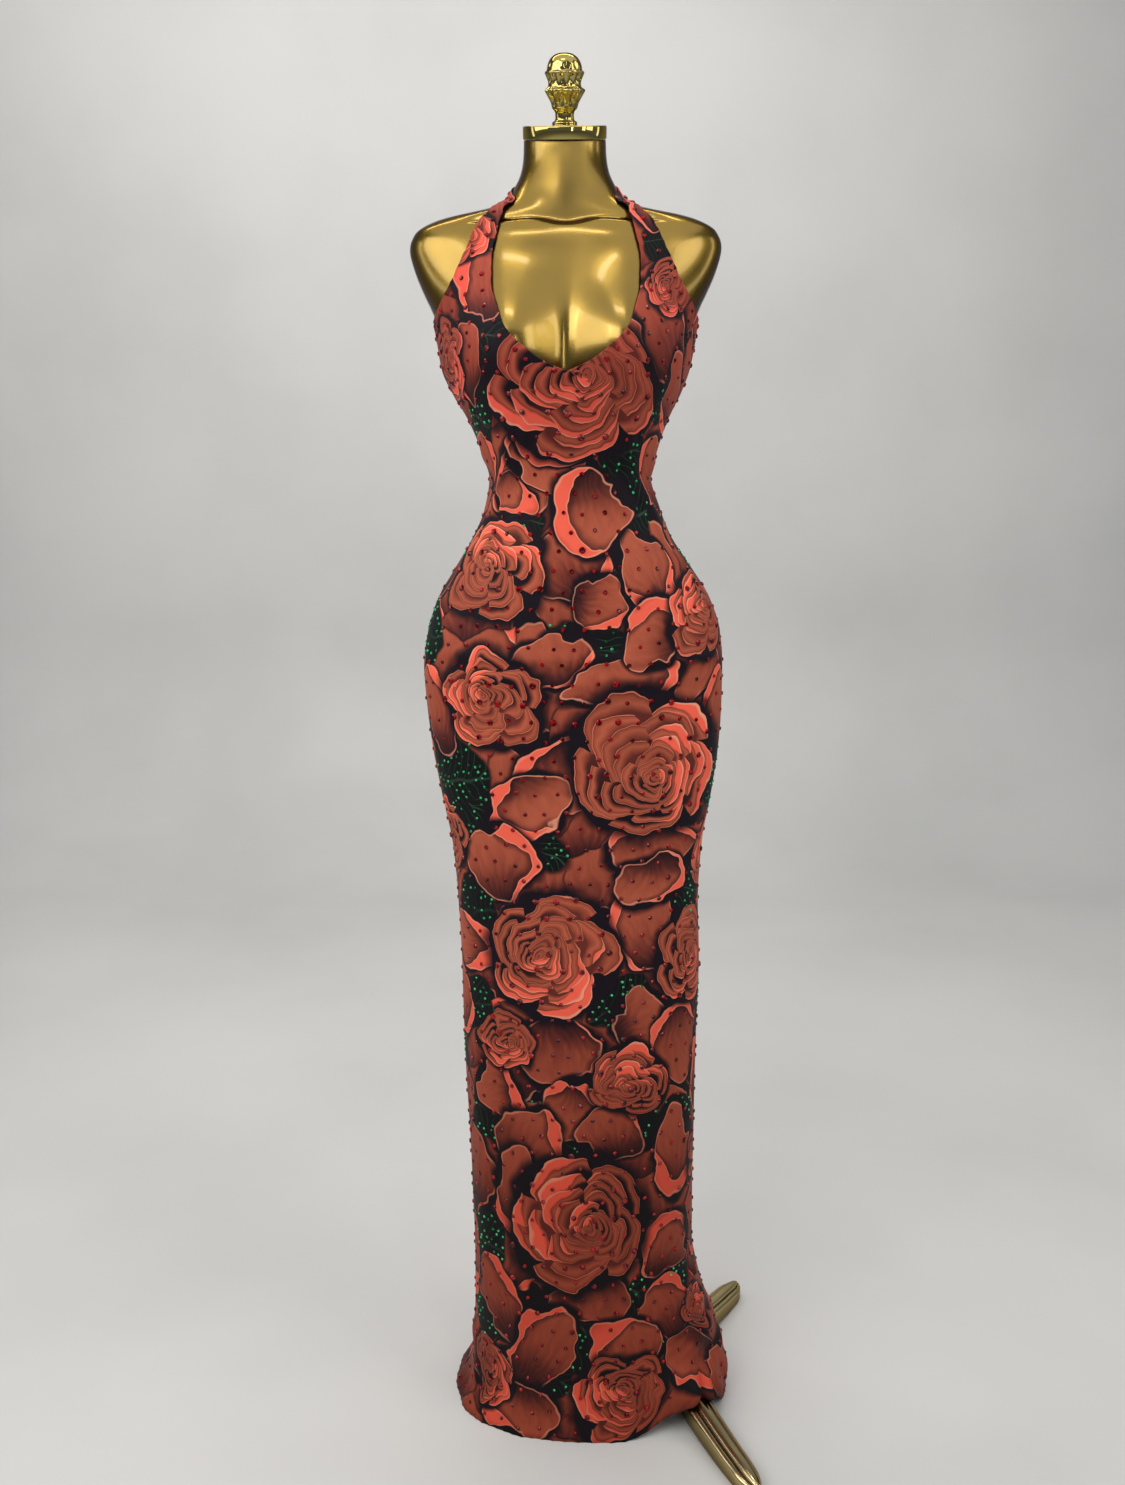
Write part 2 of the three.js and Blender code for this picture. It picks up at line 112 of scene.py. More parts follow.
def sectionAt(height):
    z = np.clip(height, figureRows[0, 0], figureRows[-1, 0])
    index = np.clip(np.searchsorted(figureRows[:, 0], z, side="right") - 1, 0, len(figureRows) - 2)
    low = figureRows[index]
    high = figureRows[index + 1]
    span = (high[..., 0] - low[..., 0])[..., None]
    t = ((z - low[..., 0]) / span[..., 0])[..., None]
    return (
        (2 * t**3 - 3 * t**2 + 1) * low[..., 1:] + (t**3 - 2 * t**2 + t) * span * figureSlopes[index]
        + (3 * t**2 - 2 * t**3) * high[..., 1:] + (t**3 - t**2) * span * figureSlopes[index + 1]
    )


def bustOut(x, z, isCloth=True):
    across = np.hypot(x, figure["valleyRound"]) - figure["bustAcross"]
    inward = 1 if isCloth else bell(across, figure["valley"])
    sideways = np.where(across < 0, inward, bell(across, figure["side"]))
    rise = z - figure["bustHeight"]
    fall = np.where(rise > 0, figure["above"], figure["clothBelow"] if isCloth else figure["below"])
    return figure["bustReach"] * sideways * bell(rise, fall)


def figurePoint(deg, z, isCloth=True):
    deg, z = np.broadcast_arrays(np.asarray(deg, float), np.asarray(z, float))
    left, right, front, back, power = np.moveaxis(sectionAt(z), -1, 0)
    forward = np.cos(np.radians(deg))
    across = np.sin(np.radians(deg))
    x = (right - left) / 2 + (right + left) / 2 * np.sign(across) * np.abs(across) ** (2 / power)
    depth = np.where(forward > 0, front, back)
    y = -depth * np.sign(forward) * np.abs(forward) ** (2 / power)
    y = y - np.where(forward > 0, bustOut(x, z, isCloth) * np.minimum(1, forward * figure["sideFade"]), 0)
    return np.stack([x, y, z], axis=-1)


def figureNormal(deg, z, isCloth=True):
    turn, lift = 0.4, 1
    around = figurePoint(deg + turn, z, isCloth) - figurePoint(deg - turn, z, isCloth)
    upward = figurePoint(deg, z + lift, isCloth) - figurePoint(deg, z - lift, isCloth)
    normal = np.cross(around, upward)
    normal[..., 2] *= smoothStep(z, figure["levelBelow"], figure["slopedAbove"])
    return normal / np.linalg.norm(normal, axis=-1, keepdims=True)


# The cloth: its ease over the figure, its folds and its hem

cloth = {
    "wall": 1.3, "torsoEase": 1.0, "bodiceEase": 2.5, "easeFrom": 1235, "easeTo": 1300,
    "snugFrom": 1488, "snugTo": 1508, "snugShare": 0.55,
    "degreeWidth": 2.2, "columns": 60, "rowStep": 6.0, "bodiceSteps": 5,
    "edgeRoll": 0.9, "edgeRollWidth": 5,
}

# start degrees, start height, end degrees, end height, width, rise (a trough is negative)
folds = [
    # from under the bust to the waist, left and right
    (-33, 1262, -58, 1172, 13, 5.0), (-25, 1252, -46, 1186, 7, 2.6), (-40, 1246, -66, 1178, 6, -0.8),
    (33, 1252, 62, 1150, 13, 5.0), (27, 1240, 50, 1168, 7, 2.4), (42, 1236, 70, 1160, 6, -0.8),
    (-18, 1228, -44, 1168, 10, 2.2),
    # hip crease, above and below its line
    (-72, 998, -6, 991, 7, 4.0), (-6, 991, 66, 987, 7, 3.4), (-74, 981, 66, 977, 4, -0.8),
    (-76, 968, -20, 970, 9, 3.2), (-2, 966, 70, 964, 9, 2.8), (-60, 1012, -18, 1008, 6, 1.6),
    # light drags round the waist and the hips
    (-64, 1128, -34, 1116, 10, 1.6), (38, 1120, 68, 1132, 10, 1.8), (-60, 905, -26, 898, 16, 1.6),
    (24, 912, 62, 904, 16, 1.5), (-86, 1225, -70, 1232, 9, 2.0), (74, 1206, 90, 1216, 8, 3.0),
    # bust darts
    (-44, 1372, -60, 1290, 4, 2.2), (-60, 1290, -66, 1262, 5, 2.0), (54, 1362, 63, 1292, 4, 1.6),
    # low on the skirt
    (5, 215, 4, 165, 5, 2.6), (22, 212, 24, 158, 6, 2.0), (-30, 330, -34, 60, 16, 2.4),
    (14, 420, 12, 120, 22, 2.0), (-58, 520, -56, 180, 20, 2.2),
    # crumples where the skirt lies over the leg
    (36, 160, 74, 176, 9, 4.0), (40, 128, 80, 140, 9, 5.5), (46, 98, 84, 108, 9, 5.0),
    (34, 74, 52, 96, 10, 4.0), (56, 62, 86, 74, 10, 5.0), (56, 28, 76, 42, 26, 9.0),
    (40, 50, 50, 40, 26, 28.0),
    # lobes of the hem
    (-95, 0, -62, 0, 24, 5.0), (-80, 90, -66, 10, 12, 4.0), (-60, 70, -50, 0, 10, 3.0),
    (-34, 44, -28, 0, 12, 2.6), (2, 50, 6, 0, 14, 2.6), (28, 60, 32, 0, 10, 3.0),
    # the back
    (-140, 1165, -112, 1205, 14, 3.4), (140, 1165, 112, 1205, 14, 3.4), (-150, 1130, -118, 1150, 10, 2.4),
    (152, 1128, 120, 1150, 10, 2.2), (150, 1188, 212, 1186, 9, 2.4), (158, 1222, 204, 1226, 11, 2.2),
    (118, 992, 172, 1000, 12, 2.4), (186, 1004, 240, 990, 12, 2.2), (128, 880, 176, 868, 20, 3.0),
    (186, 862, 232, 878, 20, 2.6), (150, 800, 156, 380, 26, 3.0), (206, 790, 200, 320, 28, 3.2),
    (178, 520, 182, 80, 30, 2.4), (232, 420, 238, 60, 18, 2.8), (126, 360, 122, 70, 16, 2.8),
    (100, 90, 112, 40, 14, 5.0), (128, 120, 146, 84, 10, 4.0), (160, 40, 170, 0, 14, 3.0),
    (196, 60, 204, 0, 14, 3.4), (246, 70, 256, 0, 12, 3.6),
]

# degrees, lift, half width before and after; an arch is gone at the fade's height
hemArches = [(44, 44, 37, 29), (124, 50, 36, 36)]
hemArchFade = 240


def foldRise(deg, z):
    rise = np.zeros(np.broadcast(deg, z).shape)
    for startDeg, startZ, endDeg, endZ, width, height in folds:
        turned = deg - 360 * np.round((deg - (startDeg + endDeg) / 2) / 360)
        along = np.array([(endDeg - startDeg) * cloth["degreeWidth"], endZ - startZ])
        here = np.stack([(turned - startDeg) * cloth["degreeWidth"], z - startZ], axis=-1)
        share = np.clip(here @ along / (along @ along), 0, 1)
        apart = np.linalg.norm(here - share[..., None] * along, axis=-1)
        soften = 0.75 + 0.25 * np.sin(share * 9 + startDeg)
        rise = rise + height * soften * bell(apart, width)
    return rise


def softWaves(deg, z):
    # slow unevenness of the knit, never inwards
    turn = np.radians(deg)
    waves = (
        np.sin(5 * turn + z / 61) * np.sin(z / 83 + 1.3) + np.sin(9 * turn - z / 97 + 2)
        + 0.7 * np.sin(z / 23 + 3 * turn) * np.sin(z / 210)
    )
    looseness = 0.28 + 0.75 * smoothStep(-np.asarray(z), -700, -200)
    return looseness * (waves + 2.7) / 2.7


def hemLift(deg, z):
    wrapped = (np.asarray(deg) + 540) % 360 - 180
    lift = np.zeros(np.broadcast(deg, z).shape)
    for middle, height, before, after in hemArches:
        halfWidth = np.where(wrapped < middle, before, after)
        apart = np.clip(np.abs(wrapped - middle) / halfWidth, 0, 1)
        lift = lift + height * np.cos(apart * np.pi / 2) ** 2
    return lift * np.maximum(0, 1 - np.asarray(z) / hemArchFade)


def clothPoint(deg, z, out=0.0):
    # point of the cloth's inner face, or further out along the normal
    deg, z = np.broadcast_arrays(np.asarray(deg, float), np.asarray(z, float))
    height = z + hemLift(deg, z)
    share = smoothStep(height, cloth["easeFrom"], cloth["easeTo"])
    ease = cloth["torsoEase"] + (cloth["bodiceEase"] - cloth["torsoEase"]) * share
    snug = smoothStep(height, cloth["snugFrom"], cloth["snugTo"])    # the straps lie close to the neck
    ease = ease * (1 - cloth["snugShare"] * snug)
    stand = ease + foldRise(deg, height) + softWaves(deg, height) * (1 - snug) + out
    return figurePoint(deg, height) + figureNormal(deg, height) * stand[..., None]


def toWorld(points):
    return np.asarray(points) * mm + np.array(formAxis)


# Where a point of the panel lies on the flat cloth: across from the panel's middle, and up

def clothAcross(middle):
    heights = np.arange(0, 1560, 6.0)
    degrees = np.arange(-180, 181, 1.5)
    grid = figurePoint((degrees + middle)[None, :], heights[:, None])
    steps = np.linalg.norm(np.diff(grid, axis=1), axis=-1)
    run = np.concatenate([np.zeros((len(heights), 1)), np.cumsum(steps, axis=1)], axis=1)
    zero = len(degrees) // 2
    return heights, degrees, run - run[:, zero:zero + 1]


acrossTables = {"front": clothAcross(0), "back": clothAcross(180)}


def readAcross(panel, deg, z):
    heights, degrees, run = acrossTables[panel]
    row = np.clip(np.asarray(z) / (heights[1] - heights[0]), 0, len(heights) - 1.001)
    column = np.clip((np.asarray(deg) - degrees[0]) / (degrees[1] - degrees[0]), 0, len(degrees) - 1.001)
    i, j = row.astype(int), column.astype(int)
    u, v = row - i, column - j
    low = run[i, j] * (1 - v) + run[i, j + 1] * v
    high = run[i + 1, j] * (1 - v) + run[i + 1, j + 1] * v
    return low * (1 - u) + high * u


def degreeAt(panel, across, z):
    heights, degrees, run = acrossTables[panel]
    row = run[int(round(z / (heights[1] - heights[0])))]
    return float(np.interp(across, row, degrees))


# Mesh helpers

def addObject(name, data):
    added = bpy.data.objects.new(name, data)
    bpy.context.scene.collection.objects.link(added)
    return added


def meshFrom(name, points, faces, smooth=True):
    mesh = bpy.data.meshes.new(name)
    mesh.from_pydata([tuple(p) for p in points], [], [tuple(int(i) for i in f) for f in faces])
    mesh.validate()
    mesh.polygons.foreach_set("use_smooth", [smooth] * len(mesh.polygons))
    return mesh


def newPiece(name, points, faces, material, node=None, smooth=True):
    mesh = meshFrom(name, toWorld(points), faces, smooth)
    mesh.materials.append(material)
    piece = addObject(name, mesh)
    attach(piece, "root")
    if node:
        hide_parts(node)
    return piece


def tubeFaces(rings, count):
    # quads between closed rings, and a face over each end
    faces = []
    for i in range(rings - 1):
        for j in range(count):
            k = (j + 1) % count
            faces.append((i * count + j, i * count + k, (i + 1) * count + k, (i + 1) * count + j))
    faces.append(tuple(range(count))[::-1])
    faces.append(tuple((rings - 1) * count + j for j in range(count)))
    return faces


def gridFaces(index, flip):
    a, b = index[:-1, :-1].ravel(), index[:-1, 1:].ravel()
    c, d = index[1:, 1:].ravel(), index[1:, :-1].ravel()
    quads = np.stack([d, c, b, a] if flip else [a, b, c, d], axis=1)
    return quads.tolist()


def applyModifiers(piece):
    graph = bpy.context.evaluated_depsgraph_get()
    shaped = piece.evaluated_get(graph)
    mesh = bpy.data.meshes.new_from_object(shaped, preserve_all_data_layers=True, depsgraph=graph)
    old = piece.data
    piece.modifiers.clear()
    piece.data = mesh
    bpy.data.meshes.remove(old)


# Material helpers: each one adds a node to the material that is being made

making = {}


def newMaterial(name):
    material = bpy.data.materials.new(name)
    material.use_nodes = True
    material.node_tree.nodes.clear()
    making["tree"] = material.node_tree
    return material


def addNode(kind, inputs=None, **settings):
    node = making["tree"].nodes.new("ShaderNode" + kind)
    for key, value in settings.items():
        setattr(node, key, value)
    for key, value in (inputs or {}).items():
        if isinstance(value, bpy.types.NodeSocket):
            making["tree"].links.new(value, node.inputs[key])
        else:
            node.inputs[key].default_value = value
    return node


def calc(operation, *values, clamp=False):
    return addNode("Math", dict(enumerate(values)), operation=operation, use_clamp=clamp).outputs[0]


def vectorCalc(operation, *values):
    node = addNode("VectorMath", dict(enumerate(values)), operation=operation)
    return node.outputs["Value" if operation in ("LENGTH", "DISTANCE") else "Vector"]


plus, minus, times, over, timesPlus, above, below = [partial(calc, operation) for operation in (
    "ADD", "SUBTRACT", "MULTIPLY", "DIVIDE", "MULTIPLY_ADD", "GREATER_THAN", "LESS_THAN")]
cosine, sine, angleOf, fraction, whole, size = [partial(calc, operation) for operation in (
    "COSINE", "SINE", "ARCTAN2", "FRACT", "ROUND", "ABSOLUTE")]
vectorPlus, vectorMinus, vectorTimes, length, distance = [partial(vectorCalc, operation) for operation in (
    "ADD", "SUBTRACT", "MULTIPLY", "LENGTH", "DISTANCE")]


def join(*values):
    return addNode("CombineXYZ", dict(enumerate(values))).outputs[0]


def split(value):
    return addNode("SeparateXYZ", {0: value}).outputs


def mixVector(share, low, high):
    return addNode("Mix", {0: share, 4: low, 5: high}, data_type="VECTOR").outputs[1]


def mixColour(share, low, high, blend="MIX"):
    low, high = [printColours[c] if isinstance(c, str) else c for c in (low, high)]
    return addNode("Mix", {0: share, 6: low, 7: high}, data_type="RGBA", blend_type=blend).outputs[2]


def ease(value, low, high):
    inputs = {"Value": value, "From Min": low, "From Max": high}
    return addNode("MapRange", inputs, interpolation_type="SMOOTHSTEP").outputs[0]


def ramp(value, *stops):
    node = addNode("ValToRGB", {0: value})
    elements = node.color_ramp.elements
    while len(elements) < len(stops):
        elements.new(0.5)
    for element, (place, name) in zip(elements, stops):
        element.position = place
        element.color = printColours[name]
    return node.outputs[0]


def noise(place, scale, detail):
    return addNode("TexNoise", {"Vector": place, "Scale": scale, "Detail": detail}).outputs


def bumpFrom(height, strength, distance):
    return addNode("Bump", {"Height": height, "Strength": strength, "Distance": distance}).outputs[0]


def finish(sockets):
    addNode("OutputMaterial", {"Surface": addNode("BsdfPrincipled", sockets).outputs[0]})


# The printed design: leaves lie lowest, then single petals, then whole roses, in the order given.
# across and up on the cloth, half width, half height, turn in degrees, tone from brown 0 to coral 20

motifs = {
    "leaf": [
        (15, 1004, 64, 26, -14, 10), (-148, 840, 42, 64, 10, 8), (-74, 782, 70, 28, -26, 12),
        (70, 1154, 26, 48, 14, 14), (-66, 1150, 24, 32, 5, 10), (60, 1066, 36, 34, 20, 12),
        (-190, 1020, 26, 40, 0, 6), (48, 572, 38, 30, 24, 10), (-140, 560, 32, 34, 0, 8),
        (-122, 418, 44, 30, -32, 12), (-36, 412, 50, 26, -32, 12), (120, 414, 36, 26, 0, 8),
        (68, 408, 22, 30, 0, 2), (-130, 684, 30, 44, 8, 4), (132, 702, 36, 28, -20, 12),
        (92, 172, 42, 60, -34, 14), (-2, 128, 56, 52, -40, 14), (-78, 76, 46, 34, -20, 12),
        (-126, 240, 26, 50, 0, 10), (90, 110, 36, 30, 0, 6), (-142, 138, 24, 38, 0, 10),
        (-84, 1341, 42, 26, -6, 18), (-116, 1264, 26, 46, -12, 10), (118, 1284, 34, 24, 12, 12),
        (62, 1226, 30, 34, 0, 10), (6, 1206, 36, 22, -30, 2), (186, 850, 30, 52, 8, 10),
        (-190, 470, 26, 50, 0, 8), (190, 560, 26, 46, 0, 10), (-60, 1440, 26, 20, 20, 10),
        (96, 1450, 20, 24, 0, 10), (178, 1130, 30, 40, 0, 10), (-160, 1140, 34, 40, 0, 10),
    ],
    "petal": [
        (-6, 1100, 50, 46, 24, 4), (28, 1056, 40, 32, 250, 8), (-30, 990, 60, 36, 8, 7),
        (146, 984, 46, 40, 160, 7), (58, 968, 78, 28, 8, 14), (-12, 856, 64, 50, 200, 7),
        (-60, 816, 56, 42, 214, 20), (-96, 750, 54, 46, 10, 14), (94, 758, 60, 44, 180, 10),
        (88, 1090, 34, 50, 24, 16), (88, 1024, 50, 36, 82, 17), (80, 660, 46, 60, 12, 9),
        (90, 722, 54, 34, 182, 12), (-28, 512, 56, 50, 180, 3), (-106, 454, 44, 34, 100, 16),
        (-12, 438, 44, 42, 168, 13), (74, 542, 46, 40, 300, 8), (126, 512, 38, 60, 200, 10),
        (-64, 394, 48, 48, 330, 11), (34, 404, 42, 40, 12, 8), (120, 368, 38, 64, 0, 16),
        (-156, 336, 44, 66, 0, 12), (-150, 640, 42, 50, 90, 16), (-84, 322, 34, 64, 4, 10),
        (0, 186, 56, 40, 180, 2), (-116, 170, 40, 62, 20, 8), (108, 244, 38, 50, 350, 18),
        (102, 146, 38, 50, 20, 8), (42, 110, 50, 50, 0, 15), (-64, 116, 38, 76, 332, 12),
        (-98, 28, 56, 36, 182, 14), (128, 60, 46, 42, 120, 12), (-94, 1400, 36, 50, 0, 15),
        (112, 1352, 52, 60, 30, 8), (-62, 1196, 36, 50, 148, 17), (-70, 1178, 26, 24, 200, 18),
        (-30, 1216, 50, 30, 172, 16), (-14, 1238, 56, 28, 184, 20), (20, 1160, 54, 50, 180, 17),
        (-176, 930, 34, 60, 20, 8), (186, 920, 32, 58, 340, 9), (-178, 560, 36, 60, 10, 10),
        (182, 470, 34, 70, 0, 12), (178, 250, 36, 60, 10, 10), (-182, 200, 34, 70, 350, 10),
        (120, 1200, 40, 50, 20, 6), (-132, 1216, 30, 44, 330, 8), (186, 30, 40, 50, 0, 14),
        (-196, 1110, 34, 50, 10, 12), (100, 1500, 34, 40, 0, 12), (-90, 1490, 34, 36, 10, 10),
        (150, 1290, 30, 50, 0, 10), (-120, 1320, 26, 44, 0, 9), (-40, 1310, 44, 40, 330, 9),
        (52, 1330, 36, 40, 20, 10),
    ],
    "rose": [
        (4, 1290, 100, 72, 0, 2), (-96, 1092, 66, 60, 20, 6), (-96, 946, 66, 60, -12, 11),
        (86, 868, 98, 92, 10, 15), (160, 1040, 52, 50, 0, 4), (-34, 634, 82, 82, 0, 9),
        (-94, 517, 38, 40, 10, 17), (60, 472, 48, 48, 0, 13), (138, 616, 52, 58, 0, 1),
        (-8, 286, 88, 94, 0, 19), (-142, 64, 34, 44, 0, 8), (26, 50, 60, 56, 0, 3),
        (150, 132, 28, 34, 0, 14), (122, 1403, 34, 40, 0, 10), (-162, 1334, 40, 46, 0, 16),
        (-188, 770, 46, 48, 0, 5), (190, 740, 44, 46, 0, 12), (-182, 430, 42, 46, 0, 3),
        (186, 345, 42, 46, 0, 17), (-150, 1180, 36, 36, 0, 18), (-104, 1455, 26, 28, 0, 8),
        (118, 1480, 24, 26, 0, 13),
    ],
}

kindNumber = {"leaf": 1, "petal": 2, "rose": 3}
tagStep = 4.0
toneSteps = 20.0
printBands = [(-100, 560), (560, 1060), (1060, 1700)]    # heights that each print material paints
printMargin = 15
shadeReach = 1.16
# the print darkens towards the hem, partly a deeper red dye and partly painted shade for the light falling
# off towards the floor, and is dyed pinker at the straps: from and to in metres up the cloth, the colour it
# is multiplied by
dyes = [(0.72, 0.3, (0.62, 0.50, 0.46, 1.0)), (1.16, 1.34, (0.86, 0.70, 0.76, 1.0))]
edgeWobble = [(17.0, 2.0, 0.040), (70.0, 1.0, 0.004)]    # scale, detail, reach
# petals under all others
bedShape = {"scale": 15.5, "reach": 0.052, "tones": 11.0, "borderSoftness": 3.0, "borderCover": 1.03}
turnStep = 15


def allMotifs():
    for kind, table in motifs.items():
        for motif in table:
            yield kind, motif


def motifAt(across, up):
    # the kind of motif on top at a place of the cloth
    found = "ground"
    for kind, (x, y, halfWidth, halfHeight, turn, _tone) in allMotifs():
        angle = math.radians(turn)
        dx, dy = across - x, up - y
        u = (dx * math.cos(angle) + dy * math.sin(angle)) / halfWidth
        v = (dy * math.cos(angle) - dx * math.sin(angle)) / halfHeight
        if u * u + v * v < 1:
            found = kind
    return found


printColours = {
    "rim": linear(240, 158, 130), "thinRim": linear(210, 120, 92), "coral": linear(246, 102, 80),
    "red": linear(196, 70, 54), "tan": linear(180, 90, 66), "brown": linear(154, 72, 52),
    "russet": linear(112, 46, 38), "maroon": linear(70, 26, 26), "shadow": linear(16, 8, 20),
    "leaf": linear(3, 12, 10), "vein": linear(96, 134, 112),
}

# radius, petals round, offset: the rings of a rose from the outside in
roseRings = [
    (1.04, 5, 0.15), (0.86, 5, 0.62), (0.69, 4, 0.30), (0.535, 4, 0.85), (0.405, 3, 0.10),
    (0.30, 3, 0.55), (0.21, 3, 0.95), (0.135, 2, 0.40), (0.065, 2, 0.05),
]
roseShape = {
    "notch": 0.15, "swirl": 0.14, "ringTurn": 0.37, "heartShift": 0.26, "lip": 0.05, "lipGrowth": 4.2,
    "shadeTurn": 1.9,
}
petalShape = {
    "outline": 0.93, "lobes": 3, "lobeDepth": 0.05, "rippleDepth": 0.022, "cleft": 0.24,
    "lipShift": 0.36, "lipReach": 1.24, "lipByTone": 0.40, "lipWave": 0.05, "lipShade": 0.2,
    "base": 1.25, "veins": 30.0,
}


def paintRose(local, seed):
    shape = roseShape
    turnSeed = times(seed, 2 * math.pi)
    heart = join(times(cosine(turnSeed), shape["heartShift"]), times(sine(turnSeed), shape["heartShift"]))
    inward = minus(1.0, length(local), clamp=True)
    moved = vectorMinus(local, vectorTimes(heart, join(inward, inward)))
    x, y, _flat = split(moved)
    radius = length(moved)
    angle = angleOf(y, x)
    turn = timesPlus(angle, 1 / (2 * math.pi), seed)
    # carried inwards: depth into the ring, hump along its petal, petal number
    state = join(3.0, 0.1, 0.5)
    for ring, (reach, petals, offset) in enumerate(roseRings):
        inner = roseRings[ring + 1][0] if ring + 1 < len(roseRings) else 0.0
        place = timesPlus(turn, float(petals), offset + shape["ringTurn"] * ring)
        along = fraction(place)
        hump = times(along, minus(1.0, along))
        edge = timesPlus(hump, reach * shape["notch"] * 4, reach * (1 - shape["notch"]))
        edge = timesPlus(along, -reach * shape["swirl"], edge)
        depth = minus(edge, radius)
        number = timesPlus(minus(place, along), 1.7, ring * 5.3)
        fresh = join(over(depth, reach - inner), hump, number)
        state = mixVector(above(depth, 0.0), state, fresh)
    depth, hump, number = split(state)
    luck = addNode("TexWhiteNoise", {"W": number}, noise_dimensions="1D").outputs[0]
    # a turned-over lip, broad on one side of the rose, and a face that falls into shade on the other
    side = timesPlus(seed, 17.0, angle)
    litSide = times(ease(cosine(side), -0.1, 0.9), luck)
    lip = timesPlus(times(hump, litSide), shape["lipGrowth"], shape["lip"])
    face = over(minus(depth, lip), minus(1.0, lip))
    faceColour = ramp(
        face, (0.0, "russet"), (0.1, "brown"), (0.36, "tan"), (0.7, "brown"), (1.0, "russet"))
    shadeSide = ease(cosine(plus(side, shape["shadeTurn"])), -0.35, 0.8)
    deep = times(ease(face, 0.34, 0.92), timesPlus(shadeSide, 0.8, 0.2))
    faceColour = mixColour(deep, faceColour, "shadow")
    lipShare = over(depth, lip)
    lipColour = ramp(lipShare, (0.0, "rim"), (0.1, "rim"), (0.26, "coral"), (0.8, "coral"), (1.0, "red"))
    lipColour = mixColour(ease(lip, 0.24, 0.1), lipColour, "thinRim")
    colour = mixColour(below(depth, lip), faceColour, lipColour)
    colour = mixColour(above(depth, 2.0), colour, "shadow")
    # each petal a little different
    shade = timesPlus(luck, 0.34, 0.8)
    shade = addNode("CombineColor", {0: shade, 1: shade, 2: shade}).outputs[0]
    return mixColour(1.0, colour, shade, "MULTIPLY")


def paintPetal(local, tone, streaks):
    shape = petalShape
    x, y, _flat = split(local)
    radius = length(local)
    angle = angleOf(y, x)
    seed = times(tone, 41.0)
    # an outline in soft lobes with one deeper cleft
    lobes = cosine(timesPlus(angle, float(shape["lobes"]), seed))
    cleft = ease(cosine(timesPlus(seed, 1.7, angle)), 0.9, 1.0)
    ripples = cosine(timesPlus(angle, 7.0, times(seed, 2.3)))
    outline = timesPlus(lobes, shape["lobeDepth"], shape["outline"])
    outline = timesPlus(ripples, shape["rippleDepth"], outline)
    outline = timesPlus(cleft, -shape["cleft"], outline)
    edge = minus(outline, radius)
    # a turned-over lip on one side: what lies outside a circle moved the other way
    shift = join(times(cosine(seed), shape["lipShift"]), times(sine(seed), shape["lipShift"]))
    limit = timesPlus(tone, -shape["lipByTone"], shape["lipReach"])
    lip = minus(distance(local, shift), timesPlus(lobes, -shape["lipWave"], limit))
    fan = angleOf(x, plus(y, shape["base"]))
    fan = cosine(timesPlus(fan, shape["veins"], times(streaks, 4.0)))
    warm = timesPlus(y, 0.34, timesPlus(tone, 0.3, 0.4))
    warm = plus(warm, times(streaks, 0.4))
    warm = timesPlus(fan, 0.05, warm)
    face = ramp(warm, (0.0, "maroon"), (0.26, "russet"), (0.52, "brown"), (0.86, "tan"))
    face = mixColour(times(ease(lip, -shape["lipShade"], 0.0), 0.8), face, "maroon")
    face = mixColour(times(ease(y, 0.1, -0.95), 0.85), face, "shadow")    # the dark root
    lipColour = ramp(lip, (0.0, "rim"), (0.03, "coral"), (0.26, "coral"), (0.5, "red"))
    colour = mixColour(above(lip, 0.0), face, lipColour)
    rim = times(ease(edge, 0.05, 0.025), timesPlus(tone, 0.4, 0.35))
    colour = mixColour(rim, colour, "rim")
    return mixColour(ease(edge, 0.012, -0.012), colour, "shadow")


def paintLeaf(local, tone):
    x, y, _flat = split(local)
    middle = size(y)
    slant = fraction(timesPlus(middle, -3.2, times(x, 3.6)))
    rib = ease(middle, 0.05, 0.01)
    vein = ease(size(minus(slant, 0.5)), 0.07, 0.01)
    strength = times(calc("MAXIMUM", rib, vein), times(tone, 0.36))
    return mixColour(strength, "leaf", "vein")


def petalBed(place):
    # loose petals under every motif, in the same form as a motif's own state
    cells = {"Vector": place, "Scale": bedShape["scale"]}
    bed = addNode("TexVoronoi", cells, voronoi_dimensions="2D").outputs
    border = addNode("TexVoronoi", cells, voronoi_dimensions="2D", feature="DISTANCE_TO_EDGE").outputs[0]
    grow = 1 / bedShape["reach"]
    fromMiddle = vectorTimes(vectorMinus(place, bed["Position"]), (grow, grow, 0.0))
    luck = addNode("SeparateColor", {0: bed["Color"]}).outputs[0]
    bedTone = whole(times(luck, bedShape["tones"]))
    cover = timesPlus(border, bedShape["borderSoftness"], bedShape["borderCover"])
    return vectorPlus(fromMiddle, join(tagStep * kindNumber["petal"], times(bedTone, tagStep), cover))


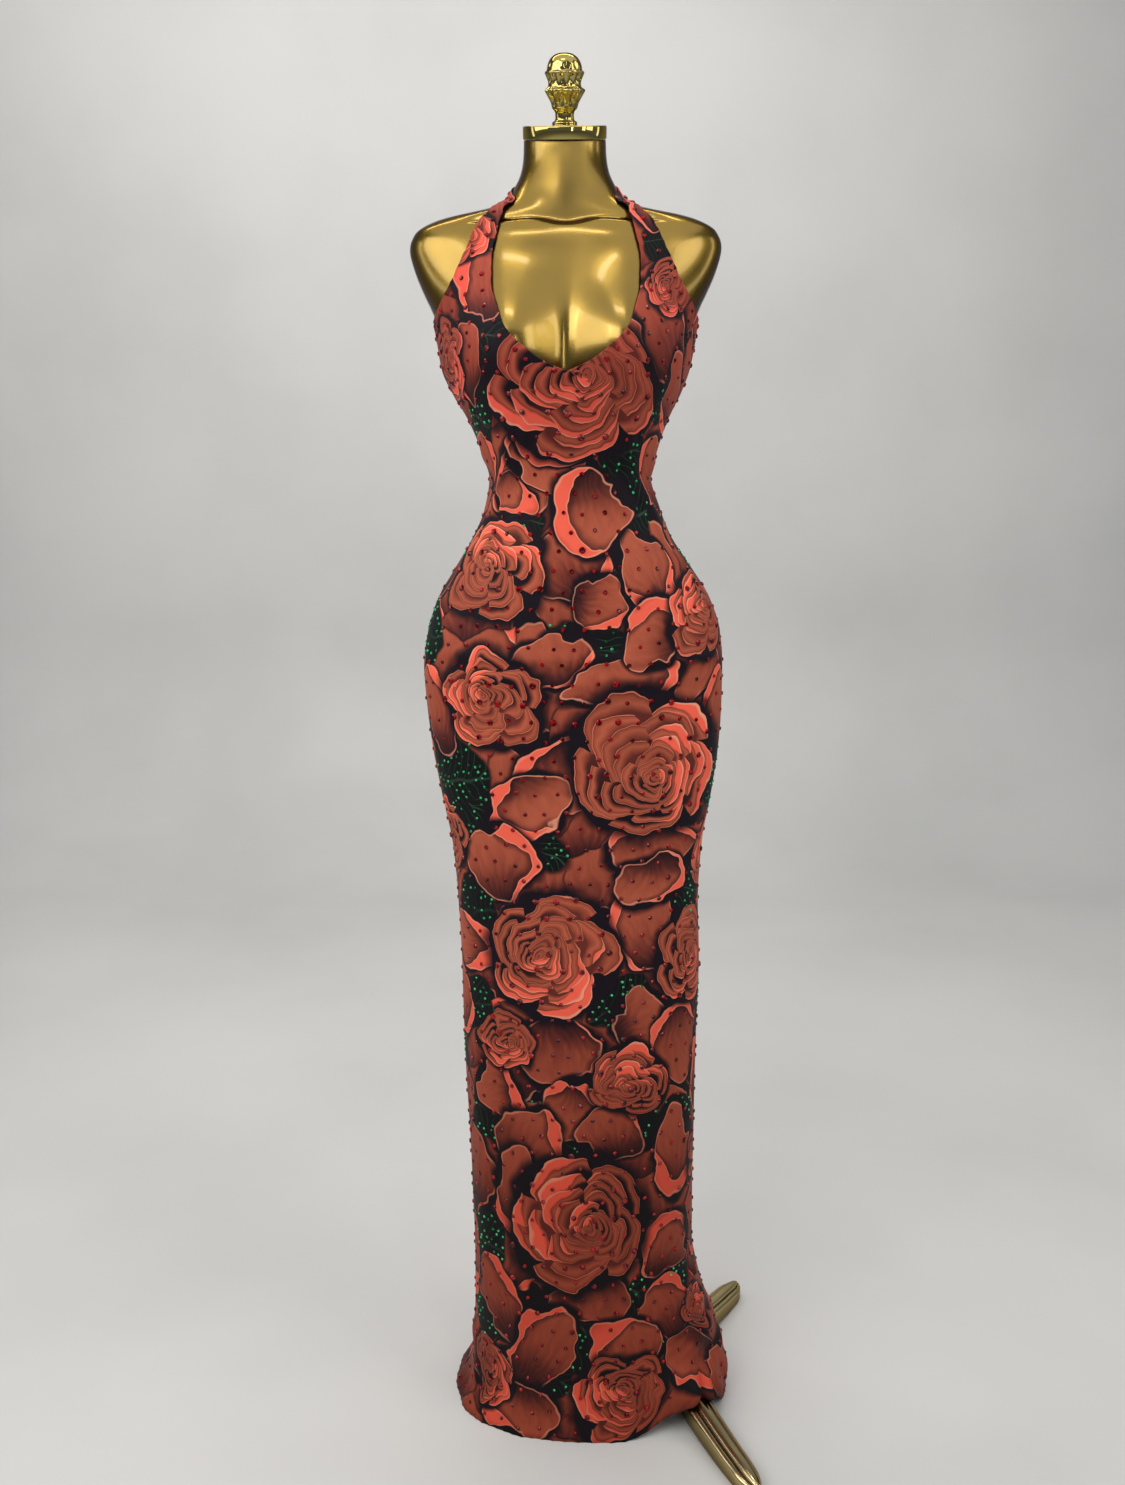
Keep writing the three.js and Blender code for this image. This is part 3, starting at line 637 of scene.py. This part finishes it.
def clothPrint(low, high):
    place = addNode("UVMap", uv_map="cut").outputs[0]
    # uneven edges, as painted
    shifts = []
    for scale, detail, reach in edgeWobble:
        centred = vectorMinus(noise(place, scale, detail)["Color"], (0.5, 0.5, 0.5))
        shifts.append(vectorTimes(centred, (reach, reach, 0.0)))
    place = vectorPlus(place, vectorPlus(*shifts))
    # the same place seen from every turn that the motifs use
    turned = {}
    for axis in range(0, 180, turnStep):
        turned[axis] = addNode("Mapping", {
            "Vector": place, "Rotation": (0, 0, -math.radians(axis))}, vector_type="POINT").outputs[0]
    # carried upwards through the layers: across and up inside the motif on top, each with a tag
    # for its kind and its tone, and how near the edge of a later motif lies
    state = petalBed(place)
    for kind, (x, y, halfWidth, halfHeight, turn, tone) in allMotifs():
        extent = max(halfWidth, halfHeight) * shadeReach + printMargin
        if y + extent < low or y - extent > high:
            continue
        turn = round(turn / turnStep) * turnStep % 360
        flip = -1 if turn >= 180 else 1
        shrink = (flip / (halfWidth * mm), flip / (halfHeight * mm))
        angle = math.radians(turn) % math.pi
        centreX = (x * math.cos(angle) + y * math.sin(angle)) * mm
        centreY = (y * math.cos(angle) - x * math.sin(angle)) * mm
        tag = (tagStep * kindNumber[kind], tagStep * tone)
        here = vectorCalc("MULTIPLY_ADD", turned[turn % 180], (*shrink, 1.0),
                         (tag[0] - centreX * shrink[0], tag[1] - centreY * shrink[1], 2.0))
        reach = distance(here, (*tag, 2.0))
        state = vectorCalc("MINIMUM", state, join(999.0, 999.0, reach))
        state = mixVector(below(reach, 1.0), state, here)
    tagX, tagY, cover = split(state)
    kindFound = whole(over(tagX, tagStep))
    toneFound = whole(over(tagY, tagStep))
    flat = join(timesPlus(kindFound, -tagStep, tagX), timesPlus(toneFound, -tagStep, tagY))
    tone = over(toneFound, toneSteps)
    streaks = minus(noise(vectorTimes(flat, (7.0, 1.6, 1.0)), 1.0, 3.0)[0], 0.5)
    colour = paintLeaf(flat, tone)
    for kind, painted in (("petal", paintPetal(flat, tone, streaks)), ("rose", paintRose(flat, tone))):
        colour = mixColour(above(kindFound, kindNumber[kind] - 0.5), colour, painted)
    colour = mixColour(times(ease(cover, shadeReach, 1.0), 0.92), colour, "shadow")
    up = split(place)[1]
    # painted shade low on the skirt together with the deeper dye there, and a pinker dye at the straps
    for start, end, dye in dyes:
        colour = mixColour(ease(up, start, end), colour, mixColour(1.0, colour, dye, "MULTIPLY"))
    return colour


def printedKnit(low, high):
    material = newMaterial(f"rosePrintedKnit{low}")
    colour = clothPrint(low, high)
    place = addNode("UVMap", uv_map="cut").outputs[0]
    ribs = addNode("TexWave", {
        "Vector": place, "Scale": 190.0, "Distortion": 1.2, "Detail": 1.0}, bands_direction="X").outputs[1]
    height = timesPlus(ribs, 0.5, noise(place, 900.0, 2.0)[0])
    finish({
        "Base Color": colour, "Roughness": 0.66, "Specular IOR Level": 0.16, "Sheen Weight": 0.03,
        "Sheen Roughness": 0.4, "Normal": bumpFrom(height, 0.18, 0.0008)})
    return material


def goldMaterial(name, colour, edge, roughness, ripple):
    material = newMaterial(name)
    place = addNode("TexCoord").outputs["Object"]
    darker = tuple(channel * 0.8 for channel in colour[:3]) + (1.0,)
    tint = mixColour(ease(noise(place, 9.0, 3.0)[0], 0.35, 0.7), colour, darker)
    wear = timesPlus(noise(place, 60.0, 3.0)[0], 0.08, roughness - 0.04)
    finish({
        "Base Color": tint, "Metallic": 1.0, "Roughness": wear, "Specular Tint": edge, "Coat Weight": 0.4,
        "Coat Roughness": 0.05, "Normal": bumpFrom(noise(place, 26.0, 1.0)[0], ripple, 0.002)})
    return material


def stoneMaterial(name, deep, bright):
    material = newMaterial(name)
    luck = noise(addNode("TexCoord").outputs["Object"], 240.0, 0.0)[0]
    colour = mixColour(ease(luck, 0.4, 0.62), deep, bright)
    finish({"Base Color": colour, "Roughness": 0.16, "Specular IOR Level": 0.32})
    return material


printedCloth = [printedKnit(low, high) for low, high in printBands]
goldLacquer = goldMaterial("goldLacquer", linear(147, 122, 57), linear(84, 56, 18), 0.25, 0.003)
polishedGold = goldMaterial("polishedGold", linear(180, 164, 94), linear(150, 124, 64), 0.07, 0.01)
legGold = goldMaterial("legGold", linear(194, 177, 132), linear(160, 140, 98), 0.16, 0.01)
redGlass = stoneMaterial("redGlass", linear(52, 2, 6), linear(150, 12, 20))
greenGlass = stoneMaterial("greenGlass", linear(10, 74, 42), linear(60, 190, 120))
print("materials:", [len(material.node_tree.nodes) for material in printedCloth], "nodes in the print")


# Camera at the photo's place, and the stage

view = {
    "distance": 1.49, "height": 1.14, "aside": -0.009, "pitch": 10.0, "roll": 0.53,
    "focal": 1215, "frame": 1485,
}
stage = {"wallAt": 3.0, "wallTop": 5.0, "halfWidth": 9.0, "near": -9.0, "bend": 0.8, "bendSteps": 12}


def addCamera():
    data = bpy.data.cameras.new("photoView")
    data.lens = view["focal"] / view["frame"] * data.sensor_width
    camera = addObject("photoView", data)
    place = (formAxis.x + view["aside"], formAxis.y - view["distance"], view["height"])
    tilt = Matrix.Rotation(math.radians(90 - view["pitch"]), 4, "X")
    roll = Matrix.Rotation(-math.radians(view["roll"]), 4, "Z")
    camera.matrix_world = Matrix.Translation(place) @ tilt @ roll
    bpy.context.scene.camera = camera


def addStage():
    floorMaterial = newMaterial("paleFloor")
    cloud = noise(addNode("TexCoord").outputs["Object"], 1.3, 4.0)[0]
    colour = mixColour(ease(cloud, 0.3, 0.8), linear(208, 209, 209), linear(196, 198, 198))
    finish({"Base Color": colour, "Roughness": 0.5})
    # level floor, a bend and an upright wall
    start, bend = stage["wallAt"] - stage["bend"], stage["bend"]
    profile = [(stage["near"], 0.0), (start, 0.0)]
    for a in np.linspace(0, math.pi / 2, stage["bendSteps"] + 1)[1:]:
        profile.append((start + bend * math.sin(a), bend - bend * math.cos(a)))
    profile.append((stage["wallAt"], stage["wallTop"]))
    points = [(side * stage["halfWidth"], y, z) for y, z in profile for side in (-1, 1)]
    mesh = meshFrom("paleStage", points, gridFaces(np.arange(len(points)).reshape(-1, 2), False))
    mesh.materials.append(floorMaterial)
    addObject("paleStage", mesh)


# name, place, aim, width, height, watts
lights = [
    ("frontLeftBox", (-1.3, -2.1, 2.6), (0, 0, 1.3), 1.4, 1.1, 23),
    ("frontRightBox", (1.9, -1.5, 2.1), (0, 0, 1.2), 0.4, 1.6, 8),
    ("ceilingPanel", (0.0, -0.6, 3.3), (0, 0.1, 0.6), 4.4, 3.2, 40),
    ("topStrip", (-0.2, -1.0, 3.1), (0, 0, 1.4), 0.8, 0.16, 3.5),
    ("frontStrip", (0.9, -2.6, 1.7), (0, 0, 1.4), 0.16, 1.4, 6),
    ("leftStrip", (-2.15, -0.95, 2.35), (0, 0, 1.4), 1.9, 1.4, 27),
    ("rightStrip", (2.3, -0.85, 2.2), (0, 0, 1.4), 0.9, 1.3, 11),
    ("rimLeft", (-2.4, 0.3, 1.8), (0, 0, 1.4), 0.3, 1.4, 3),
    ("rimRight", (2.3, 0.5, 1.9), (0, 0, 1.4), 0.3, 1.4, 3),
    ("wallWash", (-0.6, 0.9, 3.9), (-0.4, 3.0, 1.0), 3.6, 0.5, 52),
]
roomStrength = 0.25


def addLights():
    for name, place, aim, width, height, watts in lights:
        data = bpy.data.lights.new(name, "AREA")
        data.shape = "RECTANGLE"
        data.size = width
        data.size_y = height
        data.energy = watts
        data.color = linear(255, 250, 244)[:3]
        lamp = addObject(name, data)
        lamp.visible_camera = False
        lamp.location = place
        lamp.rotation_euler = (Vector(aim) - Vector(place)).to_track_quat("-Z", "Y").to_euler()
    world = bpy.data.worlds.new("softRoom")
    world.use_nodes = True
    room = world.node_tree.nodes["Background"].inputs
    room[0].default_value = linear(214, 218, 224)
    room[1].default_value = roomStrength
    bpy.context.scene.world = world
    bpy.context.scene.view_settings.view_transform = "Standard"


addCamera()
addStage()
addLights()
print("camera, stage and lights placed")


# Dress panels

# neckline edge: degrees, height; armhole edge: degrees, height
bodiceRows = [
    (0, 1307, 90, 1307), (8.5, 1318, 90, 1326), (14, 1329, 90, 1346), (20, 1342, 90, 1362),
    (24, 1356, 86, 1373), (26, 1373, 69, 1384), (27, 1393, 55, 1397), (25.5, 1414, 45, 1413),
    (23.8, 1438, 36.5, 1437), (21.8, 1456, 31.8, 1457), (21.3, 1470, 29.8, 1475), (22, 1481, 30, 1485),
    (27, 1490, 37, 1493), (37, 1498, 52, 1499), (51, 1508, 69, 1503), (72, 1518, 87, 1506),
    (95, 1528, 103, 1511), (115, 1535, 120, 1516), (136, 1539, 138, 1519), (158, 1541, 159, 1521),
    (179.9, 1541, 179.9, 1521),
]
neckPoint = 1307
armholeBase = 1364
backTop = {"side": 1366, "middle": 1280, "scoop": 1.3, "levelTo": 1180}
seamGap = 0.15
backPrintTop = 1500    # the back is cut with the print upside down


def smoothRows(rows, steps):
    # a soft curve through the rows
    rows = np.array(rows, float)
    padded = np.vstack([2 * rows[0] - rows[1], rows, 2 * rows[-1] - rows[-2]])
    before, here, after, later = [padded[k:len(rows) - 1 + k, None] for k in range(4)]
    t = (np.arange(steps) / steps)[:, None]
    curve = 0.5 * (2 * here + (after - before) * t + (2 * before - 5 * here + 4 * after - later) * t**2
                   + (3 * here - before - 3 * after + later) * t**3)
    return np.vstack([curve.reshape(-1, rows.shape[1]), rows[-1:]])


def frontGrid(side):
    # rows of degrees and heights from the hem to the nape, columns from the middle outwards
    skirt = np.linspace(0, neckPoint, int(neckPoint / cloth["rowStep"]) + 1)
    bodice = smoothRows(bodiceRows, cloth["bodiceSteps"])[1:]
    bodice[:, 2] = np.where(bodice[:, 3] < armholeBase, np.minimum(bodice[:, 2], 90), bodice[:, 2])
    share = np.linspace(0, 1, cloth["columns"] + 1)
    skirtDeg = np.broadcast_to(90 * share, (len(skirt), len(share)))
    skirtZ = np.broadcast_to(skirt[:, None], skirtDeg.shape)
    bodiceDeg = bodice[:, :1] + (bodice[:, 2:3] - bodice[:, :1]) * share
    bodiceZ = bodice[:, 1:2] + (bodice[:, 3:4] - bodice[:, 1:2]) * share
    deg = np.vstack([skirtDeg, bodiceDeg]) * side
    return deg, np.vstack([skirtZ, bodiceZ]), len(skirt)


def rollEdges(points, deg, z, edges):
    # the turned and stitched rim stands out a little along the free edges
    nearest = np.full(z.shape, 1e9)
    for edge in edges:
        for point in edge[::3]:
            nearest = np.minimum(nearest, np.linalg.norm(points - point, axis=-1))
    rim = smoothStep(-nearest, -cloth["edgeRollWidth"], 0) * cloth["edgeRoll"]
    rim = rim * (1 - smoothStep(z, cloth["snugFrom"], cloth["snugTo"]))
    return points + figureNormal(deg, z + hemLift(deg, z)) * rim[..., None]


def backEdge(deg):
    dip = np.abs(np.sin(np.radians(deg - 90))) ** backTop["scoop"]
    return backTop["side"] + (backTop["middle"] - backTop["side"]) * dip


def makePanel(name, grids, uvGrids, node):
    # the two halves of the front share the points of their middle column
    points, uvs, faces = [], [], []
    known = {}
    for number, (grid, uvGrid) in enumerate(zip(grids, uvGrids)):
        index = np.zeros(grid.shape[:2], int)
        for i, j in np.ndindex(index.shape):
            key = tuple(np.round(grid[i, j], 3)) if j == 0 else (number, i, j)
            if key not in known:
                known[key] = len(points)
                points.append(grid[i, j])
                uvs.append(uvGrid[i, j])
            index[i, j] = known[key]
        faces += gridFaces(index, len(grids) == 2 and number == 0)
    piece = newPiece(name, points, faces, printedCloth[0], node)
    mesh = piece.data
    corner = np.zeros(len(mesh.loops), int)
    mesh.loops.foreach_get("vertex_index", corner)
    cut = np.array(uvs)[corner]
    mesh.uv_layers.new(name="cut").data.foreach_set("uv", (cut * mm).ravel())
    for material in printedCloth[1:]:
        mesh.materials.append(material)
    up = cut[:, 1].reshape(-1, 4).mean(axis=1)
    band = np.searchsorted([low for low, high in printBands[1:]], up)
    mesh.polygons.foreach_set("material_index", band.astype(np.int32))
    shell = piece.modifiers.new("clothWall", "SOLIDIFY")
    shell.thickness = cloth["wall"] * mm
    shell.offset = 1.0
    shell.use_even_offset = False
    applyModifiers(piece)
    print(name, "panel:", len(piece.data.polygons), "faces")
    return piece


def makeFront():
    grids, uvGrids = [], []
    for side in (-1, 1):
        deg, z, skirtRows = frontGrid(side)
        points = clothPoint(deg, z)
        neckline, armhole, hem = points[skirtRows - 1:, 0], points[skirtRows + 12:, -1], points[0]
        points = rollEdges(points, deg, z, [neckline, armhole, hem])
        points[np.abs(deg[:, -1]) > 89.9, -1, 1] -= seamGap
        grids.append(points)
        uvGrids.append(np.stack([readAcross("front", deg, z), z], axis=-1))
    return makePanel("dressFront", grids, uvGrids, "dress_front")


def makeBack():
    deg = np.linspace(90, 270, 2 * cloth["columns"] + 1)[None, :]
    rows = int(backTop["side"] / cloth["rowStep"]) + 1
    # rows are level below the waist and follow the scooped edge above it
    z = np.linspace(0, 1, rows)[:, None] * backTop["side"]
    level = backTop["levelTo"]
    z = np.where(z <= level, z, level + (z - level) / (backTop["side"] - level) * (backEdge(deg) - level))
    deg = np.broadcast_to(deg, z.shape)
    points = clothPoint(deg, z)
    points = rollEdges(points, deg, z, [points[-1], points[0]])
    points[:, [0, -1], 1] += seamGap
    uvGrid = np.stack([-readAcross("back", deg - 180, z), backPrintTop - z], axis=-1)
    return makePanel("dressBack", [points], [uvGrid], "dress_back")


dressFront = makeFront()
dressBack = makeBack()


# The form's torso, smooth and whole under the cloth

torso = {
    "base": 600, "inset": 7, "slimBelow": 860, "edge": 9, "columns": 96, "neckTop": 1578,
    "neckLean": 17, "leanFrom": 1544, "neckBase": 1478, "neckBaseFront": 60, "neckSlope": 0.16,
    "ledgeHeight": 1476, "ledgeRun": 1.6, "ledgeEnds": (27, 40), "ledgeDip": 5, "ledgeHumps": 2.5,
    "boneDegrees": 11, "boneHeight": 1459, "boneRise": 3,
    "valleyDepth": 4.5, "valleyWidth": 4, "valleyHeight": 1338, "valleyLength": 46,
}
torsoHeights = [
    640, 680, 720, 760, 800, 840, 880, 920, 957, 990, 1025, 1055, 1085, 1115, 1145, 1175, 1205, 1235,
    1260, 1284, 1307, 1322, 1337, 1352, 1368, 1386, 1405, 1425, 1440, 1450, 1457, 1463, 1466, 1468.5,
    1470.5, 1472.5, 1474.5, 1476.5, 1479, 1482, 1486, 1490, 1495, 1500, 1507, 1515, 1525, 1538, 1555,
    1572, 1577.6, 1578,
]


def torsoRelief(deg, x, z):
    # along the normal: collarbone ends and the narrow bust valley; straight back: the step below the neck
    turn = np.abs((deg + 180) % 360 - 180)
    line = torso["ledgeHeight"] - torso["ledgeDip"] * bell(turn, 4)
    line = line + torso["ledgeHumps"] * bell(turn - torso["boneDegrees"], 6)
    bone = torso["boneRise"] * bell(turn - torso["boneDegrees"], 8) * bell(z - torso["boneHeight"], 12)
    valley = torso["valleyDepth"] * bell(x, torso["valleyWidth"]) * (turn < 90)
    valley = valley * bell(z - torso["valleyHeight"], torso["valleyLength"])
    straight = torso["neckBaseFront"] - torso["neckSlope"] * (z - torso["neckBase"])
    setBack = np.maximum(0, sectionAt(z)[..., 2] - straight) * np.cos(np.radians(turn))
    setBack = setBack * smoothStep(z - line, -torso["ledgeRun"], torso["ledgeRun"])
    setBack = setBack * (1 - smoothStep(turn, *torso["ledgeEnds"])) * (turn < 90)
    return bone * (z < line) - valley, setBack


def makeTorso():
    deg = np.arange(torso["columns"]) * 360 / torso["columns"]
    leanSlope = math.tan(math.radians(torso["neckLean"]))
    rings = []

    def ring(height, shapeHeight, inset):
        points = figurePoint(deg, shapeHeight, False)
        relief, setBack = torsoRelief(deg, points[:, 0], points[:, 2])
        points = points + figureNormal(deg, shapeHeight, False) * relief[:, None]
        points[:, 1] += setBack
        section = sectionAt(np.array(float(shapeHeight)))
        middle = np.array([(section[1] - section[0]) / 2, 0, 0])
        away = points - middle
        away[:, 2] = 0
        reach = np.linalg.norm(away, axis=1, keepdims=True)
        placed = middle + away * (1 - inset / reach) + np.array([0, 0, height])
        placed[:, 2] += placed[:, 1] * leanSlope * smoothStep(height, torso["leanFrom"], torso["neckTop"])
        rings.append(placed)

    edge, inset, base, top = [torso[key] for key in ("edge", "inset", "base", "neckTop")]
    softEdge = ((0, 60), (0, edge + 4), (0, edge), (0.3 * edge, 0.3 * edge), (edge, 0), (edge + 6, 0))
    for rise, drawIn in softEdge:
        ring(base + rise, base, inset + drawIn)
    for height in torsoHeights:
        ring(height, height, inset * (1 - smoothStep(height, base, torso["slimBelow"])))
    for drawIn in (6, 30):
        ring(top, top, drawIn)
    faces = tubeFaces(len(rings), torso["columns"])
    piece = newPiece("formTorso", np.vstack(rings), faces, goldLacquer, "form_torso")
    subdivide = piece.modifiers.new("smooth", "SUBSURF")
    subdivide.levels = 1
    subdivide.render_levels = 1
    applyModifiers(piece)


makeTorso()
print("torso done")


# Glass stones, in a jittered honeycomb over both panels

stones = {
    "spacing": 25.0, "greenSpacing": 9.5, "jitter": 3.4, "greenShare": 0.6, "sides": 8,
    "smallRadius": 2.6, "bigRadius": 3.7, "greenRadius": 1.7, "keepOff": 6.0,
    "bigShare": 0.4, "bigShareOffRoses": 0.08, "greenJitter": 0.7, "sizeSpread": 0.1, "rowShare": 0.866,
    "firstRow": 9, "upTo": 1380, "halfWidth": 260, "panelReach": 89, "frontReach": 88.5,
    "strapSpacing": 22.5, "strapShift": 0.2, "strapRise": 2.5, "strapSizes": (0.9, 1.2),
}


def stoneShape():
    # girdle, crown and table of a flat-backed stone of radius 1
    angles = [2 * math.pi * (k + 0.5) / stones["sides"] for k in range(stones["sides"])]
    levels = [(0.98, -0.25), (1.0, 0.18), (0.58, 0.62)]
    points = [(r * math.cos(a), r * math.sin(a), h) for r, h in levels for a in angles]
    return np.array(points), tubeFaces(len(levels), stones["sides"])


def panelHolds(panel, deg, z):
    # whether the cloth covers this place, a little inside its edges
    margin = stones["keepOff"]
    if z < hemLift(deg, z) + margin:
        return False
    if panel == "back":
        return z < backEdge(deg) - margin
    return abs(deg) < stones["frontReach"] and z < neckPoint - margin


def stonePlaces():
    places = {"red": [], "green": []}
    grids = [("red", stones["spacing"], 1), ("green", stones["greenSpacing"], stones["greenJitter"])]
    for panel, middle in (("front", 0), ("back", 180)):
        for colour, spacing, looseness in grids:
            rowHeight = spacing * stones["rowShare"]
            columns = int(stones["halfWidth"] / spacing)
            for row in range(int(stones["upTo"] / rowHeight)):
                for column in range(-columns, columns + 1):
                    jitter = rng.uniform(-1, 1, 3) * stones["jitter"] * looseness
                    across = (column + 0.5 * (row % 2)) * spacing + jitter[0]
                    z = row * rowHeight + stones["firstRow"] + jitter[1]
                    deg = degreeAt(panel, across, z) + middle
                    if abs(deg - middle) > stones["panelReach"] or not panelHolds(panel, deg, z):
                        continue
                    kind = motifAt(across, z) if panel == "front" else motifAt(-across, backPrintTop - z)
                    if (kind == "leaf") != (colour == "green"):
                        continue
                    size = stones["greenRadius"]
                    if colour == "red":
                        bigShare = stones["bigShare" if kind == "rose" else "bigShareOffRoses"]
                        size = stones["bigRadius" if rng.uniform() < bigShare else "smallRadius"]
                    elif rng.uniform() > stones["greenShare"]:
                        continue
                    size = size * (1 + stones["sizeSpread"] * jitter[2] / stones["jitter"])
                    places[colour].append((deg, z, size))
    places["red"] += bodiceStones()
    return places


def bodiceStones():
    # the straps and cups, row by row along the front's own grid
    found = []
    for side in (-1, 1):
        for inDeg, inZ, outDeg, outZ in bodiceRows:
            width = np.linalg.norm(figurePoint(outDeg, outZ) - figurePoint(inDeg, inZ))
            count = max(1, int(width / stones["strapSpacing"]))
            for k in range(count):
                share = (k + 0.5 + stones["strapShift"] * rng.uniform(-1, 1)) / count
                deg = (inDeg + (outDeg - inDeg) * share) * side
                z = inZ + (outZ - inZ) * share + stones["strapRise"] * rng.uniform(-1, 1)
                found.append((deg, z, stones["smallRadius"] * rng.uniform(*stones["strapSizes"])))
    return found


def makeStones(name, places, material):
    shape, shapeFaces = stoneShape()
    deg, z, size = np.array(places).T
    seat = clothPoint(deg, z, cloth["wall"])
    normal = figureNormal(deg, z + hemLift(deg, z))
    side = np.cross(np.array([0, 0, 1.0]), normal)
    side /= np.linalg.norm(side, axis=1, keepdims=True)
    axes = np.stack([side, np.cross(normal, side), normal], axis=1)
    points = seat[:, None, :] + size[:, None, None] * (shape @ axes)
    faces = [tuple(i + k * len(shape) for i in face) for k in range(len(places)) for face in shapeFaces]
    newPiece(name, points.reshape(-1, 3), faces, material, smooth=False)


places = stonePlaces()
makeStones("redStones", places["red"], redGlass)
makeStones("greenStones", places["green"], greenGlass)
print("stones:", len(places["red"]), "red,", len(places["green"]), "green")


# Cap, finial and the stand's legs; the rod and the hub keep their frame solids

hardware = {
    "neckTop": 1578, "capBase": 0.3, "finialBase": 14.6, "sides": 96, "finialFullness": 0.1, "fullFrom": 20,
    "legHub": (115, -15, 0), "legEdge": 1.6,
}
# carved tiers: height, reach, leaves round, depth
finialTiers = [(28, 7, 9, 0.2), (36, 2.5, 18, 0.08), (47.5, 5, 13, 0.15), (60, 4, 11, 0.08)]
# radius, height
capProfile = [
    (0.01, 0), (46.8, 0), (47.6, 0.3), (48, 1), (48, 12.6), (47.7, 13.4), (46.8, 14), (40, 14), (0.01, 14),
]
finialProfile = [
    (0.01, 0), (13.6, 0), (14.2, 0.6), (14.2, 3), (13.4, 3.9), (11.4, 5), (10.4, 6.9), (10.1, 11),
    (10.6, 14.2), (12.6, 16.5), (13.6, 18.8), (14.6, 22.5), (17, 27), (19.6, 31.6), (21.2, 34.5),
    (20.9, 36.2), (19.2, 37.3), (17.4, 39), (16.9, 41.8), (17.6, 45.4), (19.2, 49.2), (20.3, 52),
    (20.1, 53.6), (18.6, 54.7), (18.1, 56.5), (17.8, 58.8), (16.9, 62.1), (15.2, 65.4), (12.4, 68.7),
    (8.6, 71.1), (4.2, 72.3), (0.01, 72.5),
]


def turnedPiece(name, node, profile, base, tiers=()):
    rows = smoothRows(profile, 3) if tiers else np.array(profile)
    radius, height = rows[:, :1], rows[:, 1:]
    angle = np.arange(hardware["sides"]) * 2 * np.pi / hardware["sides"]
    if tiers:
        radius = radius * (1 + hardware["finialFullness"] * smoothStep(height, 0, hardware["fullFrom"]))
    for middle, reach, leaves, depth in tiers:
        between = 1 - np.abs(np.cos(leaves * angle / 2))
        radius = radius * (1 - depth * bell(height - middle, reach) * between)
    points = np.stack(np.broadcast_arrays(
        radius * np.cos(angle), radius * np.sin(angle), height + base), axis=-1)
    lean = Matrix.Rotation(math.radians(torso["neckLean"]), 3, "X")
    points = points.reshape(-1, 3) @ np.array(lean).T + np.array([0, 0, hardware["neckTop"]])
    newPiece(name, points, tubeFaces(len(rows), len(angle)), polishedGold, node)


# reach from the hub, half width, underside, top
legStations = [
    (26.3, 16, 32, 53.6), (29, 17, 31, 53.4), (70, 17.5, 18, 46.5), (120, 17, 7, 38.5), (165, 16, 1.5, 31),
    (190, 15.5, 0.2, 28), (205, 15, 0, 25.8), (214, 13.8, 0, 24.2), (221, 11.6, 0, 22.8), (226, 9, 0, 21.2),
    (229.5, 6, 0.4, 19.4), (231, 2.6, 1.2, 17),
]
# across as a share of the half width, drop from the top: a middle strip between two grooves
legSection = [
    (1.0, 11), (1.0, 8.6), (0.94, 7.2), (0.84, 6.2), (0.6, 4.2), (0.57, 7.4), (0.47, 7.6), (0.43, 2.6),
    (0.36, 1.2), (0.0, 0.0),
]


def makeLeg(name, node, bearing):
    section = np.array(legSection + [(-across, drop) for across, drop in legSection[-2::-1]])
    edge = hardware["legEdge"]
    rows = []
    for reach, halfWidth, under, top in smoothRows(legStations, 4):
        upper = np.stack([section[:, 0] * halfWidth, top - section[:, 1] * min(1, halfWidth / 12)], axis=1)
        lower = [(-halfWidth, under + edge), (edge - halfWidth, under), (halfWidth - edge, under),
                 (halfWidth, under + edge)]
        rows.append([(reach, across, height) for across, height in (*upper, *lower)])
    turn = np.array(Matrix.Rotation(math.radians(bearing), 3, "Z"))
    points = np.array(rows).reshape(-1, 3) @ turn.T + np.array(hardware["legHub"])
    newPiece(name, points, tubeFaces(len(rows), len(rows[0])), legGold, node)


turnedPiece("neckCap", "neck_cap", capProfile, hardware["capBase"])
turnedPiece("neckFinial", "neck_finial", finialProfile, hardware["finialBase"], finialTiers)
makeLeg("standLegFront", "stand_leg_front", -64.5)
makeLeg("standLegBack", "stand_leg_back", 55.5)
makeLeg("standLegLeft", "stand_leg_left", 175.5)
for nodeName in ("stand_rod", "stand_hub"):
    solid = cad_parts[nodeName]
    solid.data.materials.clear()
    solid.data.materials.append(legGold)
print("cap, finial and stand done")
